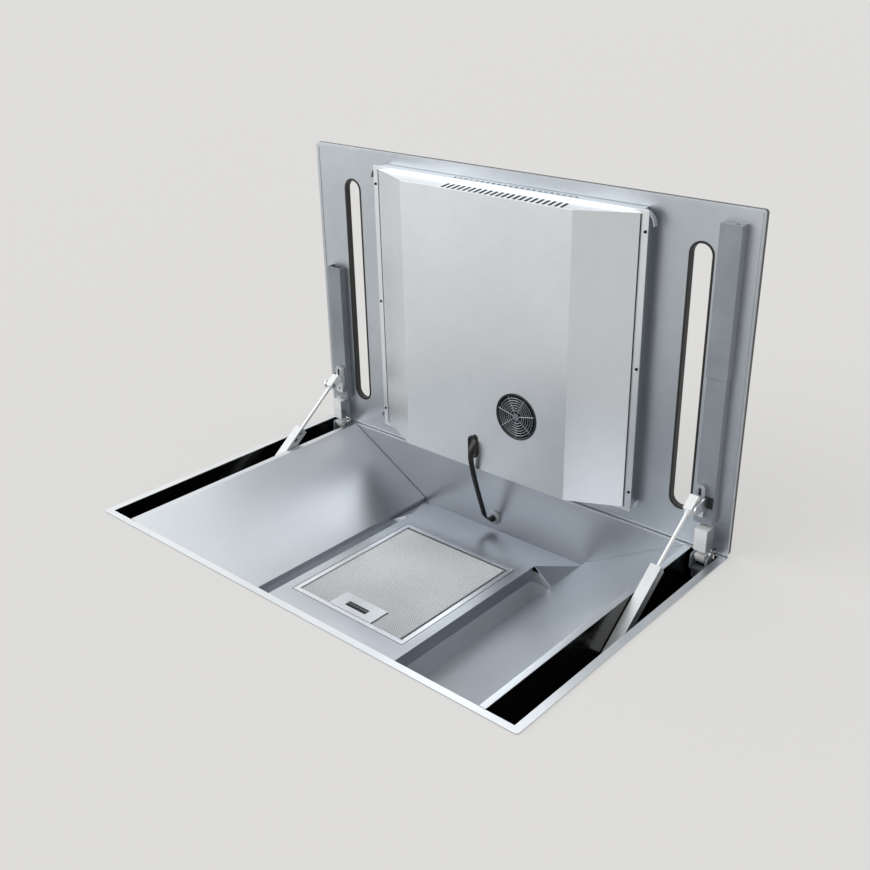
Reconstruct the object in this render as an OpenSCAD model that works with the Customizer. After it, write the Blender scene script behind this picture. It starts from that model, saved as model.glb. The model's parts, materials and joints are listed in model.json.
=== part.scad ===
// Downdraft induction cooktop with its glass lid standing open.
// Origin: centre of the underside of the steel rim, where it lies on the worktop.
// X is the width, Y the depth with +Y to the back, Z is up.
// Everything on the lid is described as it lies when the lid is closed, and is then turned open.

/* [Rim] */
// Width of the steel rim
rim_w = 830; // [800:1:860]
// Depth of the steel rim
rim_d = 520; // [510:1:530]
// Thickness of the rim plate
rim_t = 2; // [1.5:0.1:3]
// Corner radius of the rim
rim_r = 5; // [3:0.5:8]
// Width of the rim band at the front
band_front = 11; // [9:0.5:14]
// Width of the rim band at the back
band_back = 10; // [9:0.5:12]
// Width of the rim band at each side
band_side = 12; // [11:0.5:16]
// Depth of the rebate under the rim that takes the sheet walls
rim_rebate = 0.5; // [0.3:0.1:0.6]
// Sheet thickness of the folded steel parts
sheet = 1; // [0.8:0.1:1.2]

/* [Basin] */
// Width of the black side pockets
pocket_w = 44; // [43.5:0.5:46]
// Depth of the black side pockets below the rim
pocket_depth = 98; // [94:1:100]
// Width of the flat top flange of a guide panel
flange_w = 10; // [8:0.5:12]
// Depth of the basin floor below the rim
floor_depth = 105; // [103:0.5:106]
// Half distance between the feet of the guide panels
panel_foot = 176; // [172:1:180]
// Height of the folded lip at the foot of a guide panel
panel_lip = 8; // [6:0.5:9]
// Gap between a guide panel and the end walls
panel_gap = 0.8; // [0.5:0.1:1.2]
// Half width of the raised middle of the floor
plinth_half_w = 133; // [131:0.5:135]
// Half depth of the raised middle of the floor
plinth_half_d = 166; // [162:1:170]
// Height of the raised middle above the floor
plinth_h = 22.5; // [20:0.5:24]
// Half length of the side gutters
gutter_half_l = 157; // [152:1:160]
// Depth of the gutters below the rim
gutter_depth = 148; // [140:1:150]

/* [Filter] */
// Width of the grease filter
filter_w = 230; // [222:1:234]
// Length of the grease filter
filter_l = 267; // [258:1:272]
// Thickness of the grease filter
filter_t = 9; // [8:0.5:10]
// Distance of the filter's middle behind the centre line
filter_y = 2.5; // [0:0.5:5]
// Gap around the filter in its seat
filter_gap = 1; // [0.6:0.1:1.5]
// Width of the ledge that carries the filter
ledge_w = 7; // [5:0.5:10]
// Width of the filter's frame
filter_frame_w = 8; // [6:0.5:10]
// Width of the latch plate
latch_w = 86; // [80:1:92]
// Length of the latch plate
latch_l = 36; // [34:1:40]
// Width of the slot for the latch slider
slide_slot_w = 42; // [38:1:46]
// Length of the slot for the latch slider
slide_slot_l = 11.5; // [10:0.5:13]
// Travel of the latch slider
slide_travel = 3; // [2:0.5:3.5]

/* [Lid] */
// Angle to which the lid stands open
lid_open = 88.5; // [88:0.1:89]
// Distance of the glass's side edges inside the rim's
glass_inset = 0.5; // [0.3:0.1:2]
// Thickness of the glass
glass_t = 5; // [4:0.5:6]
// Thickness of the panel under the glass
carrier_t = 4.5; // [4:0.1:5]
// Gap between the closed panel and the rim
lid_gap = 1; // [0.9:0.1:1.4]
// Distance of the air slots' middles from the rim's side edges
slot_in = 84.7; // [82:0.1:91]
// Width of the air slots
slot_w = 31.6; // [26:0.2:33]
// Length of the air slots
slot_l = 403.5; // [360:1:410]
// Wall of the slot liners
liner_t = 1.5; // [1:0.1:2]
// Height of the seal under the lid
seal_t = 0.7; // [0.5:0.1:0.8]

/* [Coil box] */
// Half width of the coil tray
tray_half_w = 246; // [240:1:248]
// Front edge of the closed coil tray
tray_front = -239.5; // [-242:0.5:-238]
// Back edge of the closed coil tray
tray_back = 227.5; // [224:0.5:228]
// Depth of the coil tray below the panel
tray_h = 20; // [18:0.5:22]
// Half width of the cover's flange
cover_half_w = 258.5; // [254:0.5:262]
// Half width of the cover's flat middle
cover_flat = 162; // [155:1:170]
// Distance of the cover's flat middle from the panel
cover_depth = 62; // [58:0.5:64]
// Width of the cover's side flange
cover_flange = 8.5; // [6:0.5:10]
// Sideways place of the cooling fan
fan_x = 69.5; // [60:0.5:80]
// Place of the cooling fan along the closed lid
fan_y = 105.5; // [95:0.5:112]
// Outer radius of the fan grille
grille_r = 39; // [37:0.5:41]
// Number of vent slots in the cover
vent_count = 22; // [10:1:24]
// Number of cooling fan blades
rotor_blades = 7; // [5:1:9]

/* [Hinges and struts] */
// Distance of the lid hinges' middles inside the rim's opening
hinge_in = 23; // [21:0.5:24]
// Radius of the hinge pins
hinge_pin_r = 1.8; // [1.6:0.1:2]
// Width of a hinge arm
arm_w = 20; // [18:0.5:21]
// Radial running clearance of the pivots
pivot_gap = 0.05; // [0.03:0.01:0.08]
// Distance of the lid struts' middles inside the rim's opening
strut_in = 34; // [33:0.1:34.5]
// Closed place of the upper strut pivot from front to back
strut_top_y = 171.2; // [168:0.2:174]
// Depth of the upper strut pivot below the rim with the lid closed
strut_top_depth = 41.4; // [40:0.2:43]
// Lower strut pivot from front to back
strut_foot_y = 18.3; // [12:0.1:20]
// Depth of the lower strut pivot below the rim
strut_foot_depth = 57.8; // [55:0.1:62]
// Length of the strut tube above its lower pivot
strut_tube_l = 139; // [120:0.5:141.2]
// Length of the strut rod below the upper pivot
strut_rod_l = 143; // [125:1:145]
// Radius of the strut rod
strut_rod_r = 3; // [2.5:0.1:3.2]
// Width of the strut tube
strut_tube_w = 17; // [16:0.2:17.2]
// Height of the strut tube
strut_tube_h = 16; // [14:0.5:17]

/* [Blower] */
// Outer radius of the blower wheel
wheel_r = 84; // [78:1:85]
// Number of blower blades
wheel_blades = 30; // [20:1:36]
// Width of the outlet duct
duct_w = 222; // [200:1:230]
// Height of the outlet duct
duct_h = 88; // [80:1:89]
// Length of the duct spigot behind the casing
spigot_l = 34; // [25:1:50]
// Half width of the lower box
box_half_w = 195; // [185:1:205]
// Front of the lower box
box_front = -215; // [-225:1:-205]
// Depth of the whole body below the rim
body_depth = 200; // [199.6:0.2:205]

/* [Hidden] */
$fn = 48;
eps = 0.01;
seat_gap = 0.3;

// Plan of the opening in the rim
open_x = rim_w / 2 - band_side;
front_y = -(rim_d / 2 - band_front);
back_y = rim_d / 2 - band_back;
pocket_x = open_x - pocket_w;
panel_top_x = pocket_x - flange_w;
hinge_x = open_x - hinge_in;
strut_x = open_x - strut_in;
rail_x = open_x - 27;
slot_x = rim_w / 2 - slot_in;
glass_w = rim_w - 2 * glass_inset;
tub_x = panel_top_x + sheet;
floor_z = -floor_depth;
plinth_z = floor_z + plinth_h;
gutter_z = -gutter_depth;
casing_x = open_x + 1.5 * sheet;
casing_front = front_y - 1.5 * sheet;
casing_back = back_y + 1.5 * sheet;
casing_floor = floor_z - 2 * sheet;
box_z = -body_depth;
rebate_x = casing_x + sheet + seat_gap;
rebate_front = casing_front - sheet - seat_gap;
rebate_back = casing_back + 2 * sheet;

// Hinge axis and the turned-open pose of the lid
hinge_y = rim_d / 2 - 3.5;
hinge_z = rim_t + lid_gap + 0.9;
ear_r = 2.9;
ear_play = 0.3;
notch_half = arm_w / 2 + 6;
function opened(p) = [
    hinge_y + (p[0] - hinge_y) * cos(lid_open) + (p[1] - hinge_z) * sin(lid_open),
    hinge_z - (p[0] - hinge_y) * sin(lid_open) + (p[1] - hinge_z) * cos(lid_open)];

// Lid stack, closed
lid_z = rim_t + lid_gap;
glass_z = lid_z + carrier_t;
lid_back = hinge_y + 1.3;
lid_front = -(rim_d / 2 - 1.7);
tray_z = lid_z - tray_h;
cover_z = lid_z - cover_depth;
cover_back = tray_back - 5.5;
cover_front = tray_front + 4.5;

// Strut pivots
strut_top = [strut_top_y, -strut_top_depth];
strut_foot = [strut_foot_y, -strut_foot_depth];
strut_up = opened(strut_top);
strut_len = norm(strut_up - strut_foot);
strut_angle = atan2(strut_up[1] - strut_foot[1], strut_up[0] - strut_foot[0]);
strut_pin_r = 4;

// Filter
filter_x = filter_w / 2;
filter_front = filter_y - filter_l / 2;
filter_back = filter_y + filter_l / 2;
filter_z = plinth_z - filter_t;
latch_back = filter_front + 11 + latch_l;
slide_back = latch_back - 15.5;

// Lid cable: from its clamp in the cover to the grommet in the back wall
cable_r = 4;
cable_hole_x = -13;
cable_hole_y = 180;
cable_hole_w = 11;
cable_hole_l = 38;
clamp_y = cable_hole_y - 37;
wall_hole_x = -14.5;
wall_hole_z = -81;
wall_hole_r = 10;
cable_pts = [[-13, 201, 115.6], [-13, 201, 110], [-13, 200, 102.5], [-13, 196.5, 95.5],
    [-13.2, 191.5, 89.5], [-13.5, 186, 83], [-13.8, 182, 75.5], [-14, 180.7, 67],
    [-14, 181.5, 56], [-14, 185.5, 38], [-14, 191, 19], [-14, 197.5, -1], [-14, 207, -28],
    [-14, 215.5, -51], [-14.5, 220, -63], [-14.5, 225.5, -71.8], [-14.5, 232.5, -77.6],
    [-14.5, 240, -80.5], [-14.5, 246, -81], [-14.5, 249, -81]];

module each_side() {
    children();
    mirror([1, 0, 0]) children();
}

module lid_pose() {
    translate([0, hinge_y, hinge_z])
        rotate([-lid_open, 0, 0])
            translate([0, -hinge_y, -hinge_z])
                children();
}

// Extrudes a profile drawn in X and Z along Y, from y0 to y1
module along_y(y0, y1) {
    translate([0, y1, 0])
        rotate([90, 0, 0])
            linear_extrude(y1 - y0)
                children();
}

// Extrudes a profile drawn in Y and Z along X, from x0 to x1
module along_x(x0, x1) {
    translate([x0, 0, 0])
        rotate([90, 0, 90])
            linear_extrude(x1 - x0)
                children();
}

module box(x0, x1, y0, y1, z0, z1) {
    translate([x0, y0, z0]) cube([x1 - x0, y1 - y0, z1 - z0]);
}

module rounded_rect(w, d, r) {
    square([w - 2 * r, d], center = true);
    square([w, d - 2 * r], center = true);
    for (sx = [-1, 1], sy = [-1, 1])
        translate([sx * (w / 2 - r), sy * (d / 2 - r)]) circle(r);
}

module stadium(w, l) {
    square([w, l - w], center = true);
    for (s = [-1, 1]) translate([0, s * (l - w) / 2]) circle(w / 2);
}

// Two circles joined by their straight outer tangents
module link_shape(p, rp, q, rq) {
    d = norm(q - p);
    turn = atan2(q[1] - p[1], q[0] - p[0]);
    lean = asin((rp - rq) / d);
    translate(p) circle(rp);
    translate(q) circle(rq);
    polygon([
        p + rp * [cos(turn + 90 - lean), sin(turn + 90 - lean)],
        p + rp * [cos(turn - 90 + lean), sin(turn - 90 + lean)],
        q + rq * [cos(turn - 90 + lean), sin(turn - 90 + lean)],
        q + rq * [cos(turn + 90 - lean), sin(turn + 90 - lean)]]);
}

module hinge_notch(z0, z1) {
    each_side()
        box(hinge_x - notch_half, hinge_x + notch_half, back_y - eps, rim_d / 2 + 1, z0, z1);
}

module rim_frame() {
    color("gainsboro") difference() {
        linear_extrude(rim_t) difference() {
            rounded_rect(rim_w, rim_d, rim_r);
            translate([-open_x, front_y]) square([2 * open_x, back_y - front_y]);
        }
        box(-rebate_x, rebate_x, rebate_front, rebate_back, -1, rim_rebate);
        each_side()
            box(hinge_x - notch_half, hinge_x + notch_half, back_y - 1, rebate_back, -1, rim_t + 1);
        hinge_notch(hinge_z - ear_r - ear_play, rim_t + 1);
    }
}

// Upright walls with the flat floor under the guide panels
module basin_tub() {
    color("lightsteelblue") difference() {
        box(-tub_x - sheet, tub_x + sheet, front_y - sheet, back_y + sheet, floor_z - sheet,
            sheet);
        box(-tub_x, tub_x, front_y, back_y, floor_z, rim_t);
        box(-panel_foot, panel_foot, front_y, back_y, floor_z - 2 * sheet, rim_t);
        for (y = [front_y - rim_t, back_y])
            box(-rim_w / 2, rim_w / 2, y, y + rim_t, rim_rebate, rim_t);
        translate([wall_hole_x, back_y - 1, wall_hole_z])
            rotate([-90, 0, 0]) cylinder(r = wall_hole_r, h = 3);
    }
}

// Ramp from the raised middle down to the floor at the back wall, shrunk by g
module ramp(g) {
    px = plinth_half_w - g;
    gx = panel_foot - g;
    polyhedron(
        [[-px, plinth_half_d - g, plinth_z - g], [px, plinth_half_d - g, plinth_z - g],
            [gx, gutter_half_l + g, floor_z - g], [gx, back_y + 2 * g, floor_z - g],
            [-gx, back_y + 2 * g, floor_z - g], [-gx, gutter_half_l + g, floor_z - g]],
        [[0, 1, 2, 5], [1, 0, 4, 3], [1, 3, 2], [0, 5, 4], [2, 3, 4, 5]]);
}

// Raised middle shrunk by g, with the filter seat still closed
module raised_middle(g) {
    box(-plinth_half_w + g, plinth_half_w - g, -plinth_half_d + g, plinth_half_d - g,
        floor_z - 2 * g, plinth_z - g);
    ramp(g);
    mirror([0, 1, 0]) ramp(g);
}

// Pressed middle of the floor with the filter seat and both ramps
module basin_floor() {
    seat_x = filter_x + filter_gap;
    seat_y0 = filter_front - filter_gap;
    seat_y1 = filter_back + filter_gap;
    color("lightsteelblue") difference() {
        union() {
            difference() {
                union() {
                    box(-panel_foot, panel_foot, front_y, back_y, floor_z - sheet, floor_z);
                    raised_middle(0);
                }
                raised_middle(sheet);
            }
            box(-seat_x - sheet, seat_x + sheet, seat_y0 - sheet, seat_y1 + sheet,
                filter_z - sheet, plinth_z);
        }
        box(-tub_x, tub_x, front_y - rim_t, front_y, floor_z - 2 * sheet, 0);
        each_side()
            box(plinth_half_w, tub_x, -gutter_half_l, gutter_half_l, floor_z - 2 * sheet, 0);
        box(-seat_x, seat_x, seat_y0, seat_y1, filter_z, plinth_z + 1);
        box(-seat_x + ledge_w, seat_x - ledge_w, seat_y0 + ledge_w, seat_y1 - ledge_w,
            filter_z - 2 * sheet, filter_z + 1);
    }
}

// Drip troughs hung below the floor on both sides of the raised middle
module gutter_troughs() {
    color("lightsteelblue") each_side() difference() {
        box(plinth_half_w - sheet, panel_foot + sheet, -gutter_half_l - sheet,
            gutter_half_l + sheet, gutter_z - sheet, floor_z - sheet);
        box(plinth_half_w, panel_foot, -gutter_half_l, gutter_half_l, gutter_z, floor_z);
    }
}

module guide_panel() {
    slope = (floor_depth + rim_t - panel_lip) / (panel_top_x - panel_foot);
    drop = sheet * sqrt(1 + slope * slope);
    foot_z = floor_z + panel_lip;
    along_y(front_y + panel_gap, back_y - panel_gap)
        polygon([[pocket_x, rim_t], [panel_top_x, rim_t], [panel_foot, foot_z],
            [panel_foot, floor_z], [panel_foot + sheet, floor_z],
            [panel_foot + sheet, foot_z + sheet * slope - drop],
            [panel_top_x + (drop - sheet) / slope, rim_t - sheet], [pocket_x, rim_t - sheet]]);
}

module right_guide_panel() {
    color("white") guide_panel();
}

module left_guide_panel() {
    color("white") mirror([1, 0, 0]) guide_panel();
}

// Black side pockets, welded from flat plates
module pocket_walls() {
    y0 = front_y - sheet;
    y1 = back_y + sheet;
    color("dimgray") each_side() {
        for (x = [pocket_x - sheet, open_x])
            box(x, x + sheet, y0, y1, -pocket_depth - sheet, rim_rebate);
        box(pocket_x - sheet, pocket_x, front_y, back_y, 0, rim_t - sheet);
    }
}

module pocket_floors() {
    color("dimgray") each_side()
        box(pocket_x, open_x, front_y - sheet, back_y + sheet, -pocket_depth - sheet,
            -pocket_depth);
}

module pocket_ends() {
    color("dimgray") difference() {
        each_side() for (y = [front_y - sheet, back_y])
            box(pocket_x, open_x, y, y + sheet, -pocket_depth, rim_rebate);
        hinge_notch(notch_z, rim_t + 1);
    }
}

// Louvres for the electronics' air in both sides of the casing
side_slots = 12;
side_slot_w = 8;
side_slot_pitch = 18;
side_slot_z = [-70, -40];
notch_z = -6;

// Floor of the casing, open above the lower box
module casing_base() {
    color("silver") difference() {
        box(-casing_x - sheet, casing_x + sheet, casing_front - sheet, casing_back + sheet,
            casing_floor - sheet, casing_floor);
        box(-box_half_w + 2 * sheet, box_half_w - 2 * sheet, box_front + 2 * sheet, casing_back,
            casing_floor - 2 * sheet, casing_floor + 1);
    }
}

module casing_sides() {
    color("silver") each_side() difference() {
        box(casing_x, casing_x + sheet, casing_front - sheet, casing_back + sheet, casing_floor,
            rim_rebate);
        for (i = [0 : side_slots - 1])
            let (y = (i - (side_slots - 1) / 2) * side_slot_pitch)
            box(casing_x - 1, casing_x + 2 * sheet, y - side_slot_w / 2, y + side_slot_w / 2,
                side_slot_z[0], side_slot_z[1]);
    }
}

// Front and back walls between the casing's sides
module casing_ends() {
    color("silver") difference() {
        for (y = [casing_front - sheet, casing_back])
            box(-casing_x, casing_x, y, y + sheet, casing_floor, rim_rebate);
        hinge_notch(notch_z, rim_t + 1);
        translate([wall_hole_x, casing_back - 1, wall_hole_z])
            rotate([-90, 0, 0]) cylinder(r = wall_hole_r, h = 3);
    }
}

module blower_box() {
    z1 = casing_floor - sheet;
    vents = 7;
    vent_x0 = 158;
    vent_l = 40;
    vent_w = 6;
    vent_pitch = 16;
    vent_y0 = -150;
    color("silver") difference() {
        box(-box_half_w, box_half_w, box_front, casing_back + sheet, box_z, z1);
        box(-box_half_w + sheet, box_half_w - sheet, box_front + sheet, casing_back,
            box_z + sheet, z1 + 1);
        box(-duct_w / 2 - seat_gap, duct_w / 2 + seat_gap, casing_back - 1, casing_back + 2,
            duct_z0 - seat_gap, duct_z1 + seat_gap);
        for (i = [0 : vents - 1], s = [-1, 1])
            let (x = s * vent_x0, y = vent_y0 + vent_pitch * i)
            box(x - vent_l / 2, x + vent_l / 2, y, y + vent_w, box_z - 1, box_z + 2 * sheet);
    }
}

// Blower: spiral housing with its outlet to the back
wheel_y = -15;
scroll_wall = 1.2;
scroll_small = wheel_r + 7;
scroll_large = plinth_half_w - sheet - seat_gap - 0.7;
scroll_z0 = box_z + sheet;
scroll_z1 = scroll_z0 + duct_h;
scroll_out = gutter_half_l + 3;
duct_z0 = scroll_z0 + seat_gap;
duct_z1 = duct_z0 + duct_h - 2 * seat_gap;
tongue_angle = 60;

function spiral_r(a) = scroll_small
    + (scroll_large - scroll_small) * (a - tongue_angle) / (360 - tongue_angle);

module scroll_plan(g) {
    tongue_x = scroll_small * cos(tongue_angle);
    translate([0, wheel_y]) polygon([
        for (a = [tongue_angle : 10 : 360]) (spiral_r(a) + g) * [cos(a), sin(a)],
        [scroll_large + g, scroll_out - wheel_y],
        [tongue_x - g, scroll_out - wheel_y]]);
}

module blower_scroll() {
    color("slategray") difference() {
        translate([0, 0, scroll_z0]) linear_extrude(scroll_z1 - scroll_z0) scroll_plan(0);
        translate([0, 0, scroll_z0 + scroll_wall])
            linear_extrude(duct_h) scroll_plan(-scroll_wall);
        box(scroll_small * cos(tongue_angle) + scroll_wall, scroll_large - scroll_wall,
            scroll_out - 5, scroll_out + 1, scroll_z0 + scroll_wall, scroll_z1 + 1);
    }
}

// Box between the filter seat and the blower, with the inlet ring in its floor
module inlet_plenum() {
    px = scroll_large;
    py = plinth_half_d - 4 * sheet;
    z1 = plinth_z - sheet;
    ring_r = wheel_r - 18;
    ring_h = 5;
    color("slategray") difference() {
        union() {
            difference() {
                box(-px, px, -py, py, scroll_z1, z1);
                box(-px + sheet, px - sheet, -py + sheet, py - sheet, scroll_z1 + sheet, z1 + 1);
            }
            translate([0, wheel_y, scroll_z1 - ring_h])
                cylinder(r = ring_r + sheet, h = ring_h + sheet);
        }
        translate([0, wheel_y, scroll_z1 - ring_h - 1]) cylinder(r = ring_r, h = 2 * ring_h);
    }
}

motor_r = 38;
motor_z = scroll_z0 + scroll_wall;
motor_h = 38;
shaft_r = 4;

module blower_motor() {
    color("darkslategray") translate([0, wheel_y, motor_z]) {
        cylinder(r = motor_r, h = motor_h);
        cylinder(r = motor_r + 4, h = 3);
        cylinder(r = shaft_r, h = motor_h + 12);
    }
}

blade_w = 16.5;
blade_t = 1.2;
blade_curve = 19;

// Blade strip of the wheel, curved forwards
module wheel_blade() {
    intersection() {
        difference() {
            circle(wheel_r - 0.5);
            circle(wheel_r - 0.5 - blade_w);
        }
        translate([wheel_r - blade_w / 2, 3 - blade_curve]) difference() {
            circle(blade_curve);
            circle(blade_curve - blade_t);
        }
        translate([wheel_r - 1.5 * blade_w, -4]) square([1.5 * blade_w, 12]);
    }
}

module blower_wheel() {
    wall = 1.5;
    cup_r = motor_r + 4;
    base_z = motor_z + 7.5;
    cup_z = motor_z + motor_h + 1;
    hub_r = shaft_r + 5;
    hub_h = 9;
    top_z = scroll_z1 - 6;
    color("white") translate([0, wheel_y, 0]) {
        rotate_extrude($fn = 96) polygon([[shaft_r + pivot_gap, cup_z], [cup_r, cup_z],
            [cup_r, base_z], [wheel_r, base_z], [wheel_r, base_z + wall],
            [cup_r + wall, base_z + wall], [cup_r + wall, cup_z + wall], [hub_r, cup_z + wall],
            [hub_r, cup_z + hub_h], [shaft_r + pivot_gap, cup_z + hub_h]]);
        translate([0, 0, base_z + wall / 2]) linear_extrude(top_z - base_z - wall)
            for (i = [1 : wheel_blades]) rotate(i * 360 / wheel_blades) wheel_blade();
        translate([0, 0, top_z - wall]) difference() {
            cylinder(r = wheel_r, h = wall);
            translate([0, 0, -1]) cylinder(r = wheel_r - blade_w + wall, h = wall + 2);
        }
    }
}

// Flat transition from the blower outlet to the duct spigot
module duct_body(g) {
    x0 = scroll_small * cos(tongue_angle) - g;
    x1 = scroll_large + g;
    y0 = scroll_out + seat_gap;
    y1 = casing_back - 12;
    hull() {
        box(x0, x1, y0, y0 + 6, duct_z0 - g, duct_z1 + g);
        box(-duct_w / 2 - g, duct_w / 2 + g, y1, y1 + 1, duct_z0 - g, duct_z1 + g);
    }
    box(-duct_w / 2 - g, duct_w / 2 + g, y1, casing_back + spigot_l, duct_z0 - g, duct_z1 + g);
}

module outlet_duct() {
    color("gray") difference() {
        duct_body(0);
        duct_body(-scroll_wall);
        box(scroll_small * cos(tongue_angle) + scroll_wall, scroll_large - scroll_wall,
            scroll_out, scroll_out + 2, duct_z0 + scroll_wall, duct_z1 - scroll_wall);
        box(-duct_w / 2 + scroll_wall, duct_w / 2 - scroll_wall, casing_back + spigot_l - 2,
            casing_back + spigot_l + 1, duct_z0 + scroll_wall, duct_z1 - scroll_wall);
    }
}

// Box behind the casing in which the lid cable and the mains meet
term_half_w = 48;
term_d = 30;
term_h = 48;
term_z = -81;
term_wall = 1.5;
gland_bore = 5;
gland_neck_r = 7.7;
gland_nut_r = 12;
gland_l = 12;

module terminal_box() {
    y0 = casing_back + sheet;
    color("silver") difference() {
        box(-term_half_w, term_half_w, y0, y0 + term_d, term_z - term_h / 2,
            term_z + term_h / 2);
        box(-term_half_w + term_wall, term_half_w - term_wall, y0 - 1, y0 + term_d - term_wall,
            term_z - term_h / 2 + term_wall, term_z + term_h / 2 - term_wall);
        translate([-term_half_w - 1, y0 + term_d / 2, term_z])
            rotate([0, 90, 0]) cylinder(r = gland_neck_r + seat_gap, h = term_wall + 2);
    }
}

// Gland for the mains cord in the side of the terminal box
module cable_gland() {
    color("dimgray") translate([-term_half_w, casing_back + sheet + term_d / 2, term_z])
        rotate([0, -90, 0]) rotate_extrude()
            polygon([[gland_bore, -3 * term_wall], [gland_nut_r, -3 * term_wall],
                [gland_nut_r, -term_wall], [gland_neck_r, -term_wall], [gland_neck_r, 0],
                [gland_nut_r, 0], [gland_nut_r, gland_l / 3], [gland_nut_r - 2.5, gland_l * 2 / 3],
                [gland_nut_r - 3, gland_l], [gland_bore, gland_l]]);
}

module blower_control_board() {
    half_w = 60;
    board_d = 50;
    relay = [22, 20, 14];
    choke = [16, 28, 12];
    capacitor_r = 9;
    capacitor_h = 22;
    y0 = box_front + 12;
    z0 = box_z + 9;
    color("seagreen") {
        box(-half_w, half_w, y0, y0 + board_d, z0, z0 + board_t);
        for (x = [-half_w + 6, half_w - 6], y = [6, board_d - 6])
            translate([x, y0 + y, box_z + sheet]) cylinder(r = 3, h = z0 - box_z);
        translate([-half_w + 20, y0 + 8, z0 + 1]) cube(relay);
        translate([0, y0 + 10, z0 + 1]) cube(choke);
        translate([half_w - 24, y0 + 22, z0 + 1]) cylinder(r = capacitor_r, h = capacitor_h);
    }
}

// Bent spring clips that pull the hob down in its cut-out
module mounting_clips() {
    x0 = casing_x + sheet;
    clip_t = 1.2;
    clip_w = 24;
    clip_y = 150;
    foot_z = -62;
    bend_z = -30;
    reach = 4.7;
    color("gray") each_side() for (y = [-clip_y, clip_y])
        along_y(y - clip_w / 2, y + clip_w / 2) polygon([[x0, foot_z], [x0 + clip_t, foot_z],
            [x0 + clip_t, bend_z], [x0 + reach, bend_z + 4], [x0 + reach, bend_z + 8],
            [x0 + reach - clip_t, bend_z + 8], [x0 + reach - clip_t, bend_z + 4.5],
            [x0, bend_z + 0.5]]);
}

module wall_grommet() {
    flange_r = wall_hole_r + 3;
    color("dimgray") translate([wall_hole_x, 0, wall_hole_z]) rotate([-90, 0, 0])
        difference() {
            union() {
                translate([0, 0, back_y - 2.5]) cylinder(r = flange_r, h = 2.5);
                translate([0, 0, back_y - 1]) cylinder(r = wall_hole_r - 0.1, h = 4);
                translate([0, 0, casing_back + sheet]) cylinder(r = flange_r - 1, h = 2);
            }
            translate([0, 0, back_y - 4]) cylinder(r = cable_r + 0.4, h = 3.1);
        }
}

// Tube swept along points: sides of a ring in the plane square to the path
function unit(v) = v / norm(v);
function path_dir(p, i) = unit(p[min(i + 1, len(p) - 1)] - p[max(i - 1, 0)]);
function smooth_path(p) = [
    for (i = [0 : len(p) - 2], k = [0 : 2])
        let (a = p[max(i - 1, 0)], b = p[i], c = p[i + 1], d = p[min(i + 2, len(p) - 1)],
            t = k / 3)
        0.5 * (2 * b + (c - a) * t + (2 * a - 5 * b + 4 * c - d) * t * t
            + (3 * b - a - 3 * c + d) * t * t * t),
    p[len(p) - 1]];
cable_sides = 10;

module swept_tube(p, r) {
    n = len(p);
    rings = [for (i = [0 : n - 1])
        let (d = path_dir(p, i), u = unit(cross([1, 0, 0], d)), v = cross(d, u))
        for (k = [0 : cable_sides - 1])
            p[i] + r * (cos(k * 360 / cable_sides) * u + sin(k * 360 / cable_sides) * v)];
    polyhedron(rings, concat(
        [[for (k = [0 : cable_sides - 1]) k]],
        [for (i = [0 : n - 2], k = [0 : cable_sides - 1])
            let (a = i * cable_sides + k, b = i * cable_sides + (k + 1) % cable_sides)
            each [[a, a + cable_sides, b], [b, a + cable_sides, b + cable_sides]]],
        [[for (k = [cable_sides - 1 : -1 : 0]) (n - 1) * cable_sides + k]]));
}

module lid_cable() {
    color("black") swept_tube(smooth_path(cable_pts), cable_r);
}

// Fixed half of a lid hinge: two cheeks whose ears hold the pin
module hinge_base() {
    cheek_t = 3;
    inner = arm_w / 2 + 1;
    back = back_y - seat_gap;
    web_z = -23;
    foot_z = -44;
    knee = back_y - 12;
    for (s = [-1, 1]) {
        x0 = hinge_x + s * (inner + cheek_t / 2) - cheek_t / 2;
        difference() {
            along_x(x0, x0 + cheek_t) union() {
                translate([hinge_y, hinge_z]) circle(ear_r);
                polygon([[back_y - 1, notch_z + 0.5], [back_y + 1.5, notch_z + 1],
                    [back_y + 3, hinge_z - ear_r], [hinge_y, hinge_z - ear_r],
                    [hinge_y, hinge_z + ear_r], [back_y + 3, hinge_z + 0.8],
                    [back_y - 1, 1.2], [knee, 1]]);
                link_shape([knee, -4], 5, [knee + 1, web_z + 3], 7);
                polygon([[knee, 1], [back_y - 1, 1.2], [back, notch_z], [back, foot_z],
                    [back - 6, foot_z], [back - 10, web_z - 3]]);
            }
            along_x(x0 - 1, x0 + cheek_t + 1)
                translate([hinge_y, hinge_z]) circle(hinge_pin_r + 0.02);
        }
    }
    box(hinge_x - inner - 1, hinge_x + inner + 1, knee, back, web_z - 4, web_z);
    box(hinge_x - inner - 1, hinge_x + inner + 1, back - 2, back, foot_z, web_z - 3);
}

module right_hinge_base() {
    color("gray") hinge_base();
}

module left_hinge_base() {
    color("gray") mirror([1, 0, 0]) hinge_base();
}

module hinge_pins() {
    half = arm_w / 2 + 4.6;
    head_t = 1;
    color("silver") each_side() {
        along_x(hinge_x - half, hinge_x + half)
            translate([hinge_y, hinge_z]) circle(hinge_pin_r);
        along_x(hinge_x + half, hinge_x + half + head_t)
            translate([hinge_y, hinge_z]) circle(ear_r - 0.2);
    }
}

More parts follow.
